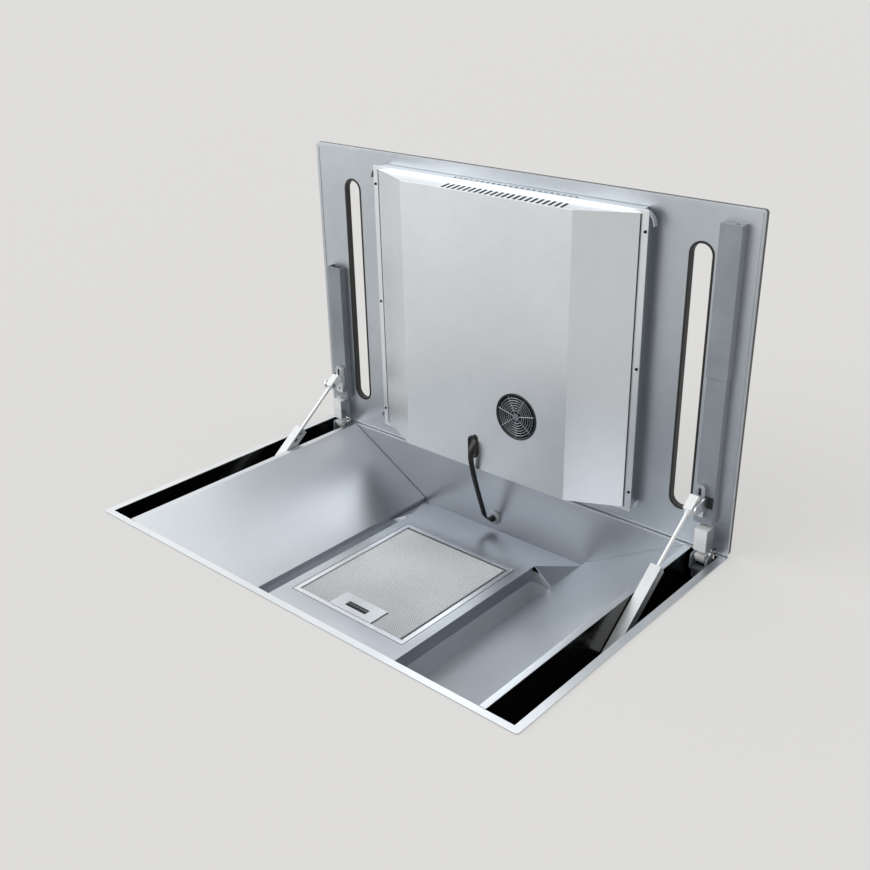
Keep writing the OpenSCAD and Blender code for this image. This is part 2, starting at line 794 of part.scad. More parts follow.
// Moving half of a lid hinge, fixed under the panel
module hinge_arm() {
    arm_l = 43;
    arm_z = hinge_z - 24.5;
    difference() {
        along_x(hinge_x - arm_w / 2, hinge_x + arm_w / 2) union() {
            translate([hinge_y, hinge_z]) circle(ear_r);
            polygon([[hinge_y - arm_l, lid_z], [hinge_y - arm_l, arm_z],
                [hinge_y - arm_l / 2, arm_z], [back_y - 3, arm_z + 11], [back_y - 2, -3],
                [back_y + 2.5, hinge_z - ear_r],
                [hinge_y + ear_r * cos(240), hinge_z + ear_r * sin(240)],
                [hinge_y, hinge_z + ear_r],
                [hinge_y + ear_r * cos(120), hinge_z + ear_r * sin(120)], [back_y, lid_z]]);
        }
        along_x(hinge_x - arm_w, hinge_x + arm_w)
            translate([hinge_y, hinge_z]) circle(hinge_pin_r + pivot_gap);
    }
}

module hinge_arms() {
    color("white") lid_pose() each_side() hinge_arm();
}

// Slotted bracket in the pocket that holds the strut's foot pin
slot_back = 40;
slot_lean = 157;
foot_pin_r = 3;

module strut_bracket() {
    x0 = strut_x + strut_tube_w / 2 + 7.5;
    plate_t = 3;
    border = 6;
    far_end = strut_foot + slot_back * [cos(slot_lean), sin(slot_lean)];
    play = foot_pin_r + 2.6;
    difference() {
        union() {
            along_x(x0, x0 + plate_t)
                link_shape(strut_foot, play + border, far_end, play + border);
            along_x(x0 + 1, open_x) translate(strut_foot) rotate(slot_lean) {
                translate([-play - border, -7]) square([plate_t, 14]);
                translate([slot_back + play + border - plate_t, -7]) square([plate_t, 14]);
            }
        }
        along_x(x0 - 1, x0 + plate_t + 1) link_shape(strut_foot, play, far_end, play);
    }
}

module strut_brackets() {
    color("gray") each_side() strut_bracket();
}

// Puts a strut drawn along +X from its foot on its rest line
module strut_pose() {
    translate([strut_x, strut_foot[0], strut_foot[1]])
        rotate([strut_angle, 0, 0])
            rotate([0, 0, 90])
                children();
}

// Channel around the gas spring, whose cylinder takes the rod
module strut_tube() {
    w = strut_tube_w / 2;
    h = strut_tube_h / 2;
    wall = 1.4;
    foot_l = 9;
    pin_l = 20;
    spring_r = 6;
    spring_in = 8;
    bore_start = 8;
    window_l = 7;
    window_h = 4;
    strut_pose() difference() {
        union() {
            difference() {
                box(-foot_l, strut_tube_l, -w, w, -h, h);
                box(foot_l, strut_tube_l + 1, -w + wall, w - wall, -h - 1, h - wall);
            }
            rotate([0, 90, 0]) cylinder(r = spring_r, h = strut_tube_l - spring_in);
            rotate([90, 0, 0]) translate([0, 0, -w]) cylinder(r = foot_pin_r, h = w + pin_l);
        }
        rotate([0, 90, 0]) translate([0, 0, bore_start])
            cylinder(r = strut_rod_r + pivot_gap, h = strut_tube_l);
        for (i = [1, 2])
            box(strut_tube_l - 2 * i * window_l, strut_tube_l - (2 * i - 1) * window_l,
                -w - 1, w + 1, h - 2 * window_h, h - window_h);
    }
}

module right_strut_tube() {
    color("white") strut_tube();
}

module left_strut_tube() {
    color("white") mirror([1, 0, 0]) strut_tube();
}

module strut_rod() {
    end_w = 14;
    end_back = 5;
    end_l = 25;
    neck_r = 3.8;
    neck_l = 5;
    strut_pose() difference() {
        union() {
            rotate([0, 90, 0]) translate([0, 0, strut_len - strut_rod_l])
                cylinder(r = strut_rod_r, h = strut_rod_l - end_back + 1);
            rotate([0, 90, 0]) translate([0, 0, strut_len - end_back - neck_l])
                cylinder(r = neck_r, h = neck_l + 1);
            translate([strut_len - end_back + end_l / 2, end_w / 2, 0]) rotate([90, 0, 0])
                linear_extrude(end_w) rounded_rect(end_l, end_w, 1.5);
        }
        translate([strut_len, end_w / 2 + 1, 0]) rotate([90, 0, 0])
            cylinder(r = strut_pin_r + pivot_gap, h = end_w + 2);
    }
}

module right_strut_rod() {
    color("silver") strut_rod();
}

module left_strut_rod() {
    color("silver") mirror([1, 0, 0]) strut_rod();
}

// Rails under the panel at both sides
rail_h = 15;
rail_t = 1.5;
rail_back = 208;
rail_half = 15;
sleeve_back = -21.5;
sleeve_front = -237.5;
left_rail_front = -44.5;

module rail_profile(half, h) {
    polygon([[rail_x - half, lid_z], [rail_x - half, lid_z - h], [rail_x + half, lid_z - h],
        [rail_x + half, lid_z], [rail_x + half - rail_t, lid_z],
        [rail_x + half - rail_t, lid_z - h + rail_t],
        [rail_x - half + rail_t, lid_z - h + rail_t], [rail_x - half + rail_t, lid_z]]);
}

module rail(y0) {
    hole_y = 172;
    difference() {
        along_y(y0, rail_back) rail_profile(rail_half, rail_h - rail_t);
        box(rail_x + 4, rail_x + 9, hole_y - 4, hole_y + 4, lid_z - rail_h - 1,
            lid_z - rail_h + 2 * rail_t + 1);
    }
}

module right_rail() {
    color("silver") lid_pose() rail(sleeve_back);
}

module left_rail() {
    color("silver") lid_pose() mirror([1, 0, 0]) rail(left_rail_front);
}

module right_rail_sleeve() {
    half = rail_half + 1;
    color("silver") lid_pose() difference() {
        union() {
            along_y(sleeve_front, sleeve_back - seat_gap) rail_profile(half, rail_h);
            box(rail_x - half, rail_x + half, sleeve_front, sleeve_front + rail_t,
                lid_z - rail_h, lid_z);
        }
        translate([rail_x + 6, sleeve_front - 1, lid_z - rail_h / 2]) rotate([-90, 0, 0])
            cylinder(r = 2.5, h = rail_t + 2);
    }
}

// Plate on the rail with the stud that carries the strut
module strut_mount() {
    rail_face = lid_z - rail_h + rail_t;
    plate_z = lid_z - 22;
    plate_t = 2;
    half_w = 8;
    mount_x = strut_x + 2.5;
    y0 = strut_top_y - 30;
    y1 = strut_top_y + 22;
    stud_l = 15;
    snap_l = 2.2;
    hole_r = 2;
    slot_w = 5;
    ear_t = 3;
    ear_x = strut_x + strut_tube_w / 2 + 1;
    eye = [strut_top_y, -strut_top_depth];
    difference() {
        union() {
            translate([mount_x, 0, plate_z]) linear_extrude(rail_face - plate_z) {
                translate([0, y0 + half_w]) circle(half_w);
                translate([-half_w, y0 + half_w]) square([2 * half_w, y1 - y0 - half_w]);
            }
            along_x(ear_x, ear_x + ear_t) link_shape(eye, strut_pin_r + 3,
                [strut_top_y, plate_z + 2], half_w + 2);
            along_x(ear_x - stud_l, ear_x + ear_t) translate(eye) circle(strut_pin_r);
            along_x(ear_x - stud_l - snap_l, ear_x - stud_l)
                translate(eye) circle(strut_pin_r - 0.8);
        }
        box(mount_x - half_w + plate_t, mount_x + half_w - plate_t, y0 + 2 * half_w, y1 + 1,
            plate_z + plate_t, rail_face + half_w);
        box(rail_x - rail_half, rail_x + rail_half, y0 - 1, y1 + 1, rail_face, 0);
        translate([mount_x, y0 + 1.5 * half_w, plate_z - 1]) linear_extrude(rail_h)
            stadium(slot_w, 2.5 * slot_w);
        translate([mount_x, y1 - half_w, plate_z - 1]) cylinder(r = hole_r, h = plate_t + 2);
    }
}

module right_strut_mount() {
    color("silver") lid_pose() strut_mount();
}

module left_strut_mount() {
    color("silver") lid_pose() mirror([1, 0, 0]) strut_mount();
}

// Grease filter with its frame, mesh, latch plate and slider
module filter_frame() {
    in_x = filter_x - filter_frame_w;
    hole = 4;
    hole_depth = 1.5;
    color("silver") difference() {
        box(-filter_x, filter_x, filter_front, filter_back, filter_z, plinth_z);
        box(-in_x, in_x, filter_front + filter_frame_w, filter_back - filter_frame_w,
            filter_z - 1, plinth_z + 1);
        box(filter_x - 3 - hole, filter_x - 3, filter_back - 3 - hole, filter_back - 3,
            plinth_z - hole_depth, plinth_z + 1);
    }
}

// Mesh with diamond openings in staggered rows
mesh_pitch_x = 15;
mesh_pitch_y = 16;
mesh_half_x = 5.5;
mesh_half_y = 6.5;
mesh_inset = 1.5;

module filter_mesh() {
    in_x = filter_x - filter_frame_w;
    y0 = filter_front + filter_frame_w;
    y1 = filter_back - filter_frame_w;
    rows = floor((y1 - y0) / mesh_pitch_y) - 1;
    cols = floor(in_x / mesh_pitch_x);
    color("lightgray") translate([0, 0, filter_z + mesh_inset])
        linear_extrude(filter_t - 2 * mesh_inset) difference() {
            translate([-in_x, y0]) square([2 * in_x, y1 - y0]);
            translate([-latch_w / 2, filter_front]) square([latch_w, latch_back - filter_front]);
            for (i = [-cols : cols], j = [0 : rows])
                let (x = mesh_pitch_x * (i + 0.5 * (j % 2)), y = y0 + 10 + mesh_pitch_y * j)
                if (abs(x) < in_x - mesh_half_x - 3.5 && y < y1 - mesh_half_y - 1.5
                    && (y > latch_back + 8 || abs(x) > latch_w / 2 + 7))
                    translate([x, y]) polygon([[-mesh_half_x, 0], [0, -mesh_half_y],
                        [mesh_half_x, 0], [0, mesh_half_y]]);
        }
}

// Latch: a plate over a slider that runs between two guide rails
slide_half = slide_slot_w / 2 + 3.5;
slide_t = 2.2;
latch_t = 2;
guide_t = 1.8;
lip_t = 1.5;
ribs = 4;
rib_pitch = 1.9;
rib_w = 0.9;

module latch_plate() {
    edge_gap = 0.8;
    y0 = filter_front + filter_frame_w;
    guide_y = slide_back + 4;
    guide_z = plinth_z - latch_t - slide_t - 0.6 - lip_t;
    color("white") difference() {
        union() {
            box(-latch_w / 2, latch_w / 2, y0 + edge_gap, latch_back, plinth_z - latch_t,
                plinth_z);
            for (s = [-1, 1]) {
                box(s * (latch_w / 2 - 1) - 1, s * (latch_w / 2 - 1) + 1, y0, latch_back,
                    filter_z + mesh_inset, plinth_z);
                box(s * (slide_half + seat_gap + guide_t / 2) - guide_t / 2,
                    s * (slide_half + seat_gap + guide_t / 2) + guide_t / 2, y0 + 1,
                    guide_y, guide_z, plinth_z - latch_t / 2);
                box(s * slide_half - guide_t, s * slide_half + guide_t, y0 + 1, guide_y,
                    guide_z, guide_z + lip_t);
            }
        }
        box(-slide_slot_w / 2, slide_slot_w / 2, slide_back - slide_slot_l, slide_back,
            plinth_z - latch_t - 1, plinth_z + 1);
    }
}

// Slider under the latch plate, with a ribbed grip in the slot
module latch_slider() {
    half = slide_slot_w / 2 - 0.5;
    y0 = slide_back - slide_slot_l + 0.8;
    y1 = slide_back - slide_travel - seat_gap;
    top_z = plinth_z - latch_t - seat_gap;
    color("white") {
        box(-slide_half, slide_half, filter_front + filter_frame_w + seat_gap,
            y1 + slide_travel, top_z - slide_t, top_z);
        box(-half, half, y0, y1, top_z - 0.1, plinth_z - 0.6);
        for (i = [0 : ribs - 1])
            let (y = y0 + rib_w / 3 + rib_pitch * i)
            box(-half, half, y, y + rib_w, plinth_z - 1, plinth_z + 0.6);
    }
}

// Lid panel outline with both air slots, closed
module lid_plan(inset, slot_grow) {
    mid = (lid_front + lid_back) / 2;
    difference() {
        translate([0, mid]) rounded_rect(glass_w - 2 * inset, lid_back - lid_front - 2 * inset,
            rim_r - inset);
        each_side() translate([slot_x, 0]) stadium(slot_w + 2 * slot_grow,
            slot_l + 2 * slot_grow);
    }
}

module glass_top() {
    color([0.08, 0.08, 0.09]) lid_pose() translate([0, 0, glass_z]) linear_extrude(glass_t)
        lid_plan(0, liner_t + 0.1);
}

module lid_carrier() {
    color("darkgray") lid_pose() difference() {
        translate([0, 0, lid_z]) linear_extrude(carrier_t) lid_plan(0.5, liner_t + 0.1);
        box(-tray_half_w - 0.2, tray_half_w + 0.2, tray_front - 0.2, tray_back + 0.2,
            lid_z - 1, glass_z + 1);
        hinge_notch(lid_z - 1, glass_z + 1);
    }
}

module slot_liner() {
    lip_w = 2;
    lip_h = 0.5;
    translate([slot_x, 0, 0]) {
        translate([0, 0, lid_z]) linear_extrude(carrier_t + glass_t) difference() {
            stadium(slot_w + 2 * liner_t, slot_l + 2 * liner_t);
            stadium(slot_w, slot_l);
        }
        translate([0, 0, lid_z - lip_h]) linear_extrude(lip_h) difference() {
            stadium(slot_w + 2 * (liner_t + lip_w), slot_l + 2 * (liner_t + lip_w));
            stadium(slot_w, slot_l);
        }
    }
}

module right_slot_liner() {
    color("silver") lid_pose() slot_liner();
}

module left_slot_liner() {
    color("silver") lid_pose() mirror([1, 0, 0]) slot_liner();
}

module lid_seal() {
    seal_w = 4;
    edge = 3;
    mid = (lid_front + lid_back) / 2;
    d = lid_back - lid_front;
    color("dimgray") lid_pose() difference() {
        translate([0, mid, lid_z - seal_t]) linear_extrude(seal_t) difference() {
            square([glass_w - 2 * edge, d - 2 * edge], center = true);
            square([glass_w - 2 * edge - 2 * seal_w, d - 2 * edge - 2 * seal_w], center = true);
        }
        hinge_notch(lid_z - 2, lid_z + 1);
    }
}

// Shallow tray under the glass that holds the coils
module coil_tray() {
    wall = 1.5;
    guard_r = 21;
    guard_h = 8;
    ledge_t = 1.2;
    vent_w = 5;
    vent_z = [5, 11];
    color("gainsboro") lid_pose() {
        difference() {
            box(-tray_half_w, tray_half_w, tray_front, tray_back, tray_z, glass_z - seat_gap);
            box(-tray_half_w + wall, tray_half_w - wall, tray_front + wall, tray_back - wall,
                tray_z - 1, glass_z);
            for (i = [0 : vent_count - 1])
                box(vent_x(i) - vent_w / 2, vent_x(i) + vent_w / 2, tray_front - 1,
                    tray_front + wall + 1, tray_z + vent_z[0], tray_z + vent_z[1]);
        }
        each_side() box(tray_half_w - 1, cover_half_w - 1, tray_front, tray_back,
            tray_z, tray_z + ledge_t);
        each_side() for (s = [[tray_front + guard_r, -90], [tray_back - guard_r, 0]])
            translate([tray_half_w, s[0], tray_z])
                rotate([0, 0, s[1]]) rotate_extrude(angle = 90)
                    translate([guard_r - wall, 0]) square([wall, guard_h]);
    }
}

// Vent slots of the tray and the cover share one row of places
vent_x0 = -90;
vent_x1 = 135;
function vent_x(i) = vent_x0 + (vent_x1 - vent_x0) * i / (vent_count - 1);

// Tapered cover of the electronics, open towards the tray
cover_root = cover_half_w - cover_flange;

module cover_profile(g) {
    polygon([[-cover_root + g, tray_z], [-cover_flat + 0.55 * g, cover_z + g],
        [cover_flat - 0.55 * g, cover_z + g], [cover_root - g, tray_z]]);
}

module casing_cover() {
    vent_lean = 28;
    vent_w = 4.4;
    vent_h = 14;
    vent_z = cover_z + 11;
    color("whitesmoke") lid_pose() difference() {
        union() {
            along_y(cover_front, cover_back) cover_profile(0);
            box(-cover_half_w, cover_half_w, tray_front, tray_back, tray_z - sheet, tray_z);
        }
        along_y(cover_front + sheet, cover_back - sheet) cover_profile(sheet);
        box(-cover_root + sheet, cover_root - sheet, cover_front + sheet, cover_back - sheet,
            tray_z - 2 * sheet, tray_z + 1);
        translate([fan_x, fan_y, cover_z - 1]) cylinder(r = grille_r - 2, h = 4);
        translate([cable_hole_x, cable_hole_y, cover_z - 1])
            linear_extrude(4) stadium(cable_hole_w, cable_hole_l);
        for (i = [0 : vent_count - 1])
            translate([vent_x(i), cover_front - 1, vent_z]) rotate([0, vent_lean, 0])
                box(-vent_w / 2, vent_w / 2, 0, 3 * sheet, -vent_h / 2, vent_h / 2);
    }
}

module casing_screws() {
    head_r = 2.2;
    head_h = 1;
    places = [cover_front + 25, -8, cover_back - 28];
    color("gray") lid_pose() each_side() for (y = places)
        translate([cover_half_w - cover_flange / 2, y, tray_z - sheet - head_h])
            cylinder(r = head_r, h = head_h);
}

// Plate, coils and ferrites under the glass
coil_r = 88;
coil_x = 122;
coil_rows = [-84, 112];
coil_plate_z = lid_z - 7;
coil_plate_t = 2;
coil_gap = 1.8;
coil_centre_r = 24;
turn_pitch = 8;
turn_w = 6.5;
coil_t = 4;
ferrite_t = 4.2;
board_t = 1.6;

module coil_plate() {
    color("silver") lid_pose() difference() {
        box(-tray_half_w + coil_gap, tray_half_w - coil_gap, tray_front + coil_gap,
            tray_back - coil_gap, coil_plate_z, coil_plate_z + coil_plate_t);
        for (x = [-coil_x, coil_x], y = coil_rows)
            translate([x, y, coil_plate_z - 1]) cylinder(r = coil_centre_r / 3, h = 4);
    }
}

module induction_coils() {
    z0 = coil_plate_z + coil_plate_t + ferrite_t + 0.1;
    color("peru") lid_pose() for (x = [-coil_x, coil_x], y = coil_rows)
        translate([x, y, z0]) rotate_extrude() {
            for (r = [coil_centre_r : turn_pitch : coil_r - turn_pitch])
                translate([r, 0]) square([turn_w, coil_t]);
            translate([coil_centre_r - 2, 0]) square([coil_r - coil_centre_r, 0.8]);
        }
}

module ferrite_bars() {
    bar_w = 12;
    z0 = coil_plate_z + coil_plate_t;
    color("dimgray") lid_pose() for (x = [-coil_x, coil_x], y = coil_rows, a = [0 : 60 : 300])
        translate([x, y, 0]) rotate([0, 0, a])
            box(coil_centre_r + 4, coil_r - 6, -bar_w / 2, bar_w / 2, z0, z0 + ferrite_t);
}

board_z = lid_z - 39;

module power_board() {
    x0 = 10;
    x1 = 185;
    y0 = -200;
    y1 = 148;
    inset = 6;
    choke = [30, 34, 18];
    choke_rows = [-180, -130, 90];
    choke_in = 55;
    capacitor_in = 40;
    capacitor_r = 14;
    capacitor_h = 16;
    capacitor_rows = [-60, -24, 12, 48];
    box(x0, x1, y0, y1, board_z, board_z + board_t);
    for (x = [x0 + inset, x1 - inset], y = [y0 + inset, y1 - inset])
        translate([x, y, board_z + 1]) cylinder(r = 3.5, h = coil_plate_z - board_z - 1);
    for (y = choke_rows)
        translate([x1 - choke_in, y, board_z + 1]) cube(choke);
    for (y = capacitor_rows)
        translate([x1 - capacitor_in, y, board_z + 1])
            cylinder(r = capacitor_r, h = capacitor_h);
}

module power_boards() {
    color("seagreen") lid_pose() each_side() power_board();
}

module heat_sink() {
    fins = 9;
    fin_t = 2;
    fin_h = 14;
    base_t = 4;
    sink_w = 64;
    sink_front = -165;
    fan_room = 46;
    x0 = fan_x - sink_w / 2;
    z0 = board_z - base_t;
    color("silver") lid_pose() along_y(sink_front, fan_y - fan_room) union() {
        translate([x0, z0]) square([sink_w, base_t]);
        for (i = [0 : fins - 1])
            translate([x0 + i * (sink_w - fin_t) / (fins - 1), z0 - fin_h])
                square([fin_t, fin_h + 1]);
    }
}

module touch_control_board() {
    half_w = 100;
    y0 = tray_front + 6;
    board_d = 44;
    z0 = coil_plate_z + 8.4;
    sensor_r = 5;
    color("seagreen") lid_pose() {
        box(-half_w, half_w, y0, y0 + board_d, z0, z0 + board_t);
        for (x = [-half_w + 6, half_w - 6], y = [6, board_d - 6])
            translate([x, y0 + y, coil_plate_z + coil_plate_t]) cylinder(r = 3, h = 7);
        for (i = [-4 : 4])
            translate([half_w / 5 * i, y0 + board_d / 2, z0 + board_t])
                cylinder(r = sensor_r, h = 1.2);
    }
}

// Cooling fan behind the round grille
fan_z = cover_z + sheet;
fan_half = 40;
fan_bore = 36;
fan_h = 15;
bridge_t = 2.5;
rotor_r = 35.3;
rotor_hub = 14;
rotor_h = 10;
axle_r = 2;

module cooling_fan_frame() {
    color("dimgray") lid_pose() translate([fan_x, fan_y, fan_z]) {
        difference() {
            box(-fan_half, fan_half, -fan_half, fan_half, 0.6, fan_h);
            translate([0, 0, -1]) cylinder(r = fan_bore, h = fan_h + 2);
        }
        translate([0, 0, fan_h - bridge_t]) cylinder(r = rotor_hub + 1, h = bridge_t);
        for (a = [0 : 120 : 240]) rotate([0, 0, a])
            box(rotor_hub - 4, fan_bore + 1, -3, 3, fan_h - bridge_t, fan_h);
        translate([0, 0, 4]) cylinder(r = axle_r, h = rotor_h);
    }
}

module cooling_fan_rotor() {
    blade_pitch = 38;
    blade_half_t = 0.7;
    color("black") lid_pose() translate([fan_x, fan_y, fan_z]) {
        difference() {
            translate([0, 0, 2]) cylinder(r = rotor_hub, h = rotor_h);
            translate([0, 0, 3]) cylinder(r = axle_r + pivot_gap, h = rotor_h + 2);
        }
        intersection() {
            translate([0, 0, 2.2]) cylinder(r = rotor_r, h = rotor_h - 0.4);
            for (a = [1 : rotor_blades]) rotate([0, 0, a * 360 / rotor_blades])
                translate([0, 0, 2 + rotor_h / 2]) rotate([blade_pitch, 0, 0])
                    box(rotor_hub - 3, rotor_r + 2, -9, 9, -blade_half_t, blade_half_t);
        }
    }
}

// Round finger guard let into the cover
module fan_grille() {
    lip_t = 1;
    border = 3.5;
    ring_w = 1.7;
    ring_pitch = 6;
    hub = 4;
    spokes = 8;
    color("dimgray") lid_pose() translate([fan_x, fan_y, cover_z - lip_t]) {
        linear_extrude(lip_t) difference() {
            circle(grille_r);
            circle(grille_r - border);
        }
        linear_extrude(sheet + lip_t) {
            difference() {
                circle(grille_r - 2.1);
                circle(grille_r - border);
            }
            for (r = [hub + 4.5 : ring_pitch : grille_r - border - 1.5]) difference() {
                circle(r + ring_w / 2);
                circle(r - ring_w / 2);
            }
            for (a = [0.5 : 1 : spokes - 0.5]) rotate(a * 360 / spokes) translate([hub / 2, -1])
                square([grille_r - border - 1.5, 2]);
            circle(hub);
        }
    }
}

// Clamp on the cover's inner side that holds the cable's end
module cable_clamp() {
    half_w = 12;
    clamp_d = 14;
    color("white") lid_pose()
        box(cable_hole_x - half_w, cable_hole_x + half_w, clamp_y - clamp_d, clamp_y,
            cover_z + sheet, cover_z + 20);
}

rim_frame();
basin_tub();
basin_floor();
gutter_troughs();
left_guide_panel();
right_guide_panel();
pocket_walls();
pocket_floors();
pocket_ends();
casing_base();
casing_sides();
casing_ends();
blower_box();
blower_scroll();
inlet_plenum();
blower_motor();
blower_wheel();
outlet_duct();
terminal_box();
cable_gland();
blower_control_board();
mounting_clips();
wall_grommet();
lid_cable();
left_hinge_base();
right_hinge_base();
hinge_pins();
strut_brackets();
left_strut_tube();
right_strut_tube();
left_strut_rod();
right_strut_rod();
filter_frame();
filter_mesh();
latch_plate();
latch_slider();
glass_top();
lid_carrier();
left_slot_liner();
right_slot_liner();
lid_seal();
coil_tray();
casing_cover();
casing_screws();
coil_plate();
induction_coils();
ferrite_bars();
power_boards();
heat_sink();
touch_control_board();
cooling_fan_frame();
cooling_fan_rotor();
fan_grille();
cable_clamp();
left_rail();
right_rail();
right_rail_sleeve();
left_strut_mount();
right_strut_mount();
hinge_arms();
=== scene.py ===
import json
import math
import bpy
from mathutils import Matrix, Vector


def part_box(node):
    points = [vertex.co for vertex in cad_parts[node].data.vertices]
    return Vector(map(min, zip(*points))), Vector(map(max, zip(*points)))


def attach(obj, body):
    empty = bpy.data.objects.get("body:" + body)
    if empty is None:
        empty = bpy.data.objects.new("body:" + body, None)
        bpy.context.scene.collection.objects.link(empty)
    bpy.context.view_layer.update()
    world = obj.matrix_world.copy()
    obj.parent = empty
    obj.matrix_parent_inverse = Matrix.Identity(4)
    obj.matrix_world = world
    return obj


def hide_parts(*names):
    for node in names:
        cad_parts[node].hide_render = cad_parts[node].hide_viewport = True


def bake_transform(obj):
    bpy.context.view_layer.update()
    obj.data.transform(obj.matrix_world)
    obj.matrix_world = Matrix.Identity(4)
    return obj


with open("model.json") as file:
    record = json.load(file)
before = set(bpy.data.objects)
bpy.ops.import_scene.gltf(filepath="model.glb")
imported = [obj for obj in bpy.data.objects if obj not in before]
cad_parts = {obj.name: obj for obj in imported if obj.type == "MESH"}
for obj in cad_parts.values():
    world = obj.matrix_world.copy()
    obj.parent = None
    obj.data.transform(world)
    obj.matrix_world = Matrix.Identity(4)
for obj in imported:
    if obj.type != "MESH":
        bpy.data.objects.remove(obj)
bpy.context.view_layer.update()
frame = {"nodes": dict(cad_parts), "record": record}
nodes = frame["nodes"]
behaviour = frame["record"]["behaviour"]
joints = {joint["name"]: joint for joint in behaviour["joints"]}
bodyOf = {node: body for body, names in behaviour["bodies"].items() for node in names}
bpy.ops.object.select_all(action="DESELECT")
print("frame loaded:", len(nodes), "nodes")

# Camera, at the photograph's place: metres, degrees, millimetres of lens and sensor
cameraLook = {
    "place": (0.9894, -1.0617, 0.8289), "turn": 41.22, "drop": 24.78, "roll": -0.37,
    "lens": 44.546, "sensor": 36, "shift": (0.0039, 0.0057), "near": 0.01, "far": 60}


def placeCamera(look):
    turn, drop, roll = (math.radians(look[k]) for k in ("turn", "drop", "roll"))
    ahead = Vector((-math.sin(turn) * math.cos(drop), math.cos(turn) * math.cos(drop),
                    -math.sin(drop)))
    right = Vector((math.cos(turn), math.sin(turn), 0))
    up = right.cross(ahead)
    side = math.cos(roll) * right + math.sin(roll) * up
    top = -math.sin(roll) * right + math.cos(roll) * up
    bpy.ops.object.camera_add(location=look["place"])
    camera = bpy.context.object
    turned = Matrix((side, top, -ahead)).transposed().to_4x4()
    camera.matrix_world = Matrix.Translation(look["place"]) @ turned
    camera.data.lens = look["lens"]
    camera.data.sensor_width = look["sensor"]
    camera.data.shift_x, camera.data.shift_y = look["shift"]
    camera.data.clip_start = look["near"]
    camera.data.clip_end = look["far"]
    bpy.context.scene.camera = camera


placeCamera(cameraLook)
print("camera placed")

# Lid cable: the route's points in millimetres, and its sizes in metres
cableLook = {
    "route": [(-13, 201, 115.6), (-13, 201, 110), (-13, 200, 102.5), (-13, 196.5, 95.5),
              (-13.2, 191.5, 89.5), (-13.5, 186, 83), (-13.8, 182, 75.5), (-14, 180.7, 67),
              (-14, 181.5, 56), (-14, 185.5, 38), (-14, 191, 19), (-14, 197.5, -1),
              (-14, 207, -28), (-14, 215.5, -51), (-14.5, 220, -63), (-14.5, 225.5, -71.8),
              (-14.5, 232.5, -77.6), (-14.5, 240, -80.5), (-14.5, 246, -81),
              (-14.5, 249, -81)],
    "radius": 0.0046, "steps": 4, "sides": 24, "leastTurn": 1e-6, "smooth": 50,
    "bendFrom": (-0.0137, 0.183, 0.078), "bendTo": (-0.0145, 0.2155, -0.051)}


def smoothRoute(points, steps):
    # Points along a curve that passes through all the given ones
    route = [Vector(p) / 1000 for p in points]
    fine = []
    for i in range(len(route) - 1):
        a, b, c, d = (route[max(0, min(len(route) - 1, i + k))] for k in (-1, 0, 1, 2))
        for k in range(steps):
            t = k / steps
            fine.append(0.5 * (2 * b + (c - a) * t + (2 * a - 5 * b + 4 * c - d) * t * t
                               + (3 * b - a - 3 * c + d) * t ** 3))
    return fine + [route[-1]]


def makeCable(look):
    line = smoothRoute(look["route"], look["steps"])
    bpy.ops.mesh.primitive_circle_add(vertices=look["sides"], radius=look["radius"],
                                      fill_type="NGON", location=line[0])
    cable = bpy.context.object
    bpy.ops.object.mode_set(mode="EDIT")
    bpy.ops.mesh.select_all(action="SELECT")
    before = Vector((0, 0, -1))
    for here, there in zip(line, line[1:]):
        bpy.ops.mesh.extrude_region_move(
            TRANSFORM_OT_translate={"value": tuple(there - here)})
        k = line.index(there)
        ahead = (line[min(k + 1, len(line) - 1)] - here).normalized()
        turn = math.atan2(before.cross(ahead).x, before.dot(ahead))
        if abs(turn) > look["leastTurn"]:
            bpy.ops.transform.rotate(value=turn, orient_axis="X",
                                     center_override=tuple(there))
        before = ahead
    bpy.ops.mesh.select_all(action="SELECT")
    bpy.ops.mesh.normals_make_consistent(inside=False)
    bpy.ops.object.mode_set(mode="OBJECT")
    bpy.ops.object.shade_smooth_by_angle(angle=math.radians(look["smooth"]))
    bpy.ops.object.transform_apply(location=True, rotation=True, scale=True)
    cable.name = cable.data.name = "lidCable"
    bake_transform(cable)
    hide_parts("lid_cable")
    return cable


cable = makeCable(cableLook)
print("cable made")


def toLinear(hexColour):
    parts = [int(hexColour[i:i + 2], 16) / 255 for i in (1, 3, 5)]
    return [c / 12.92 if c <= 0.04045 else ((c + 0.055) / 1.055) ** 2.4 for c in parts] + [1]


def addNode(tree, kind, settings=None, links=None):
    node = tree.nodes.new(kind)
    for name, value in (settings or {}).items():
        if isinstance(name, str) and hasattr(node, name):
            setattr(node, name, value)
        else:
            node.inputs[name].default_value = value
    for name, source in (links or {}).items():
        tree.links.new(source, node.inputs[name])
    return node


def startMaterial(name, shader):
    material = bpy.data.materials.new(name)
    material.use_nodes = True
    tree = material.node_tree
    tree.nodes.clear()
    surface = addNode(tree, "ShaderNodeBsdfPrincipled", shader)
    out = addNode(tree, "ShaderNodeOutputMaterial")
    tree.links.new(surface.outputs[0], out.inputs["Surface"])
    return material, tree, surface


def grainTexture(tree, size, detail=3.0):
    # Noise stretched to size, the grain's length in metres along X, Y and Z
    place = addNode(tree, "ShaderNodeTexCoord")
    mapping = addNode(tree, "ShaderNodeMapping", {"Scale": [1 / s for s in size]},
                      {"Vector": place.outputs["Object"]})
    return addNode(tree, "ShaderNodeTexNoise", {"Scale": 1.0, "Detail": detail},
                   {"Vector": mapping.outputs[0]})


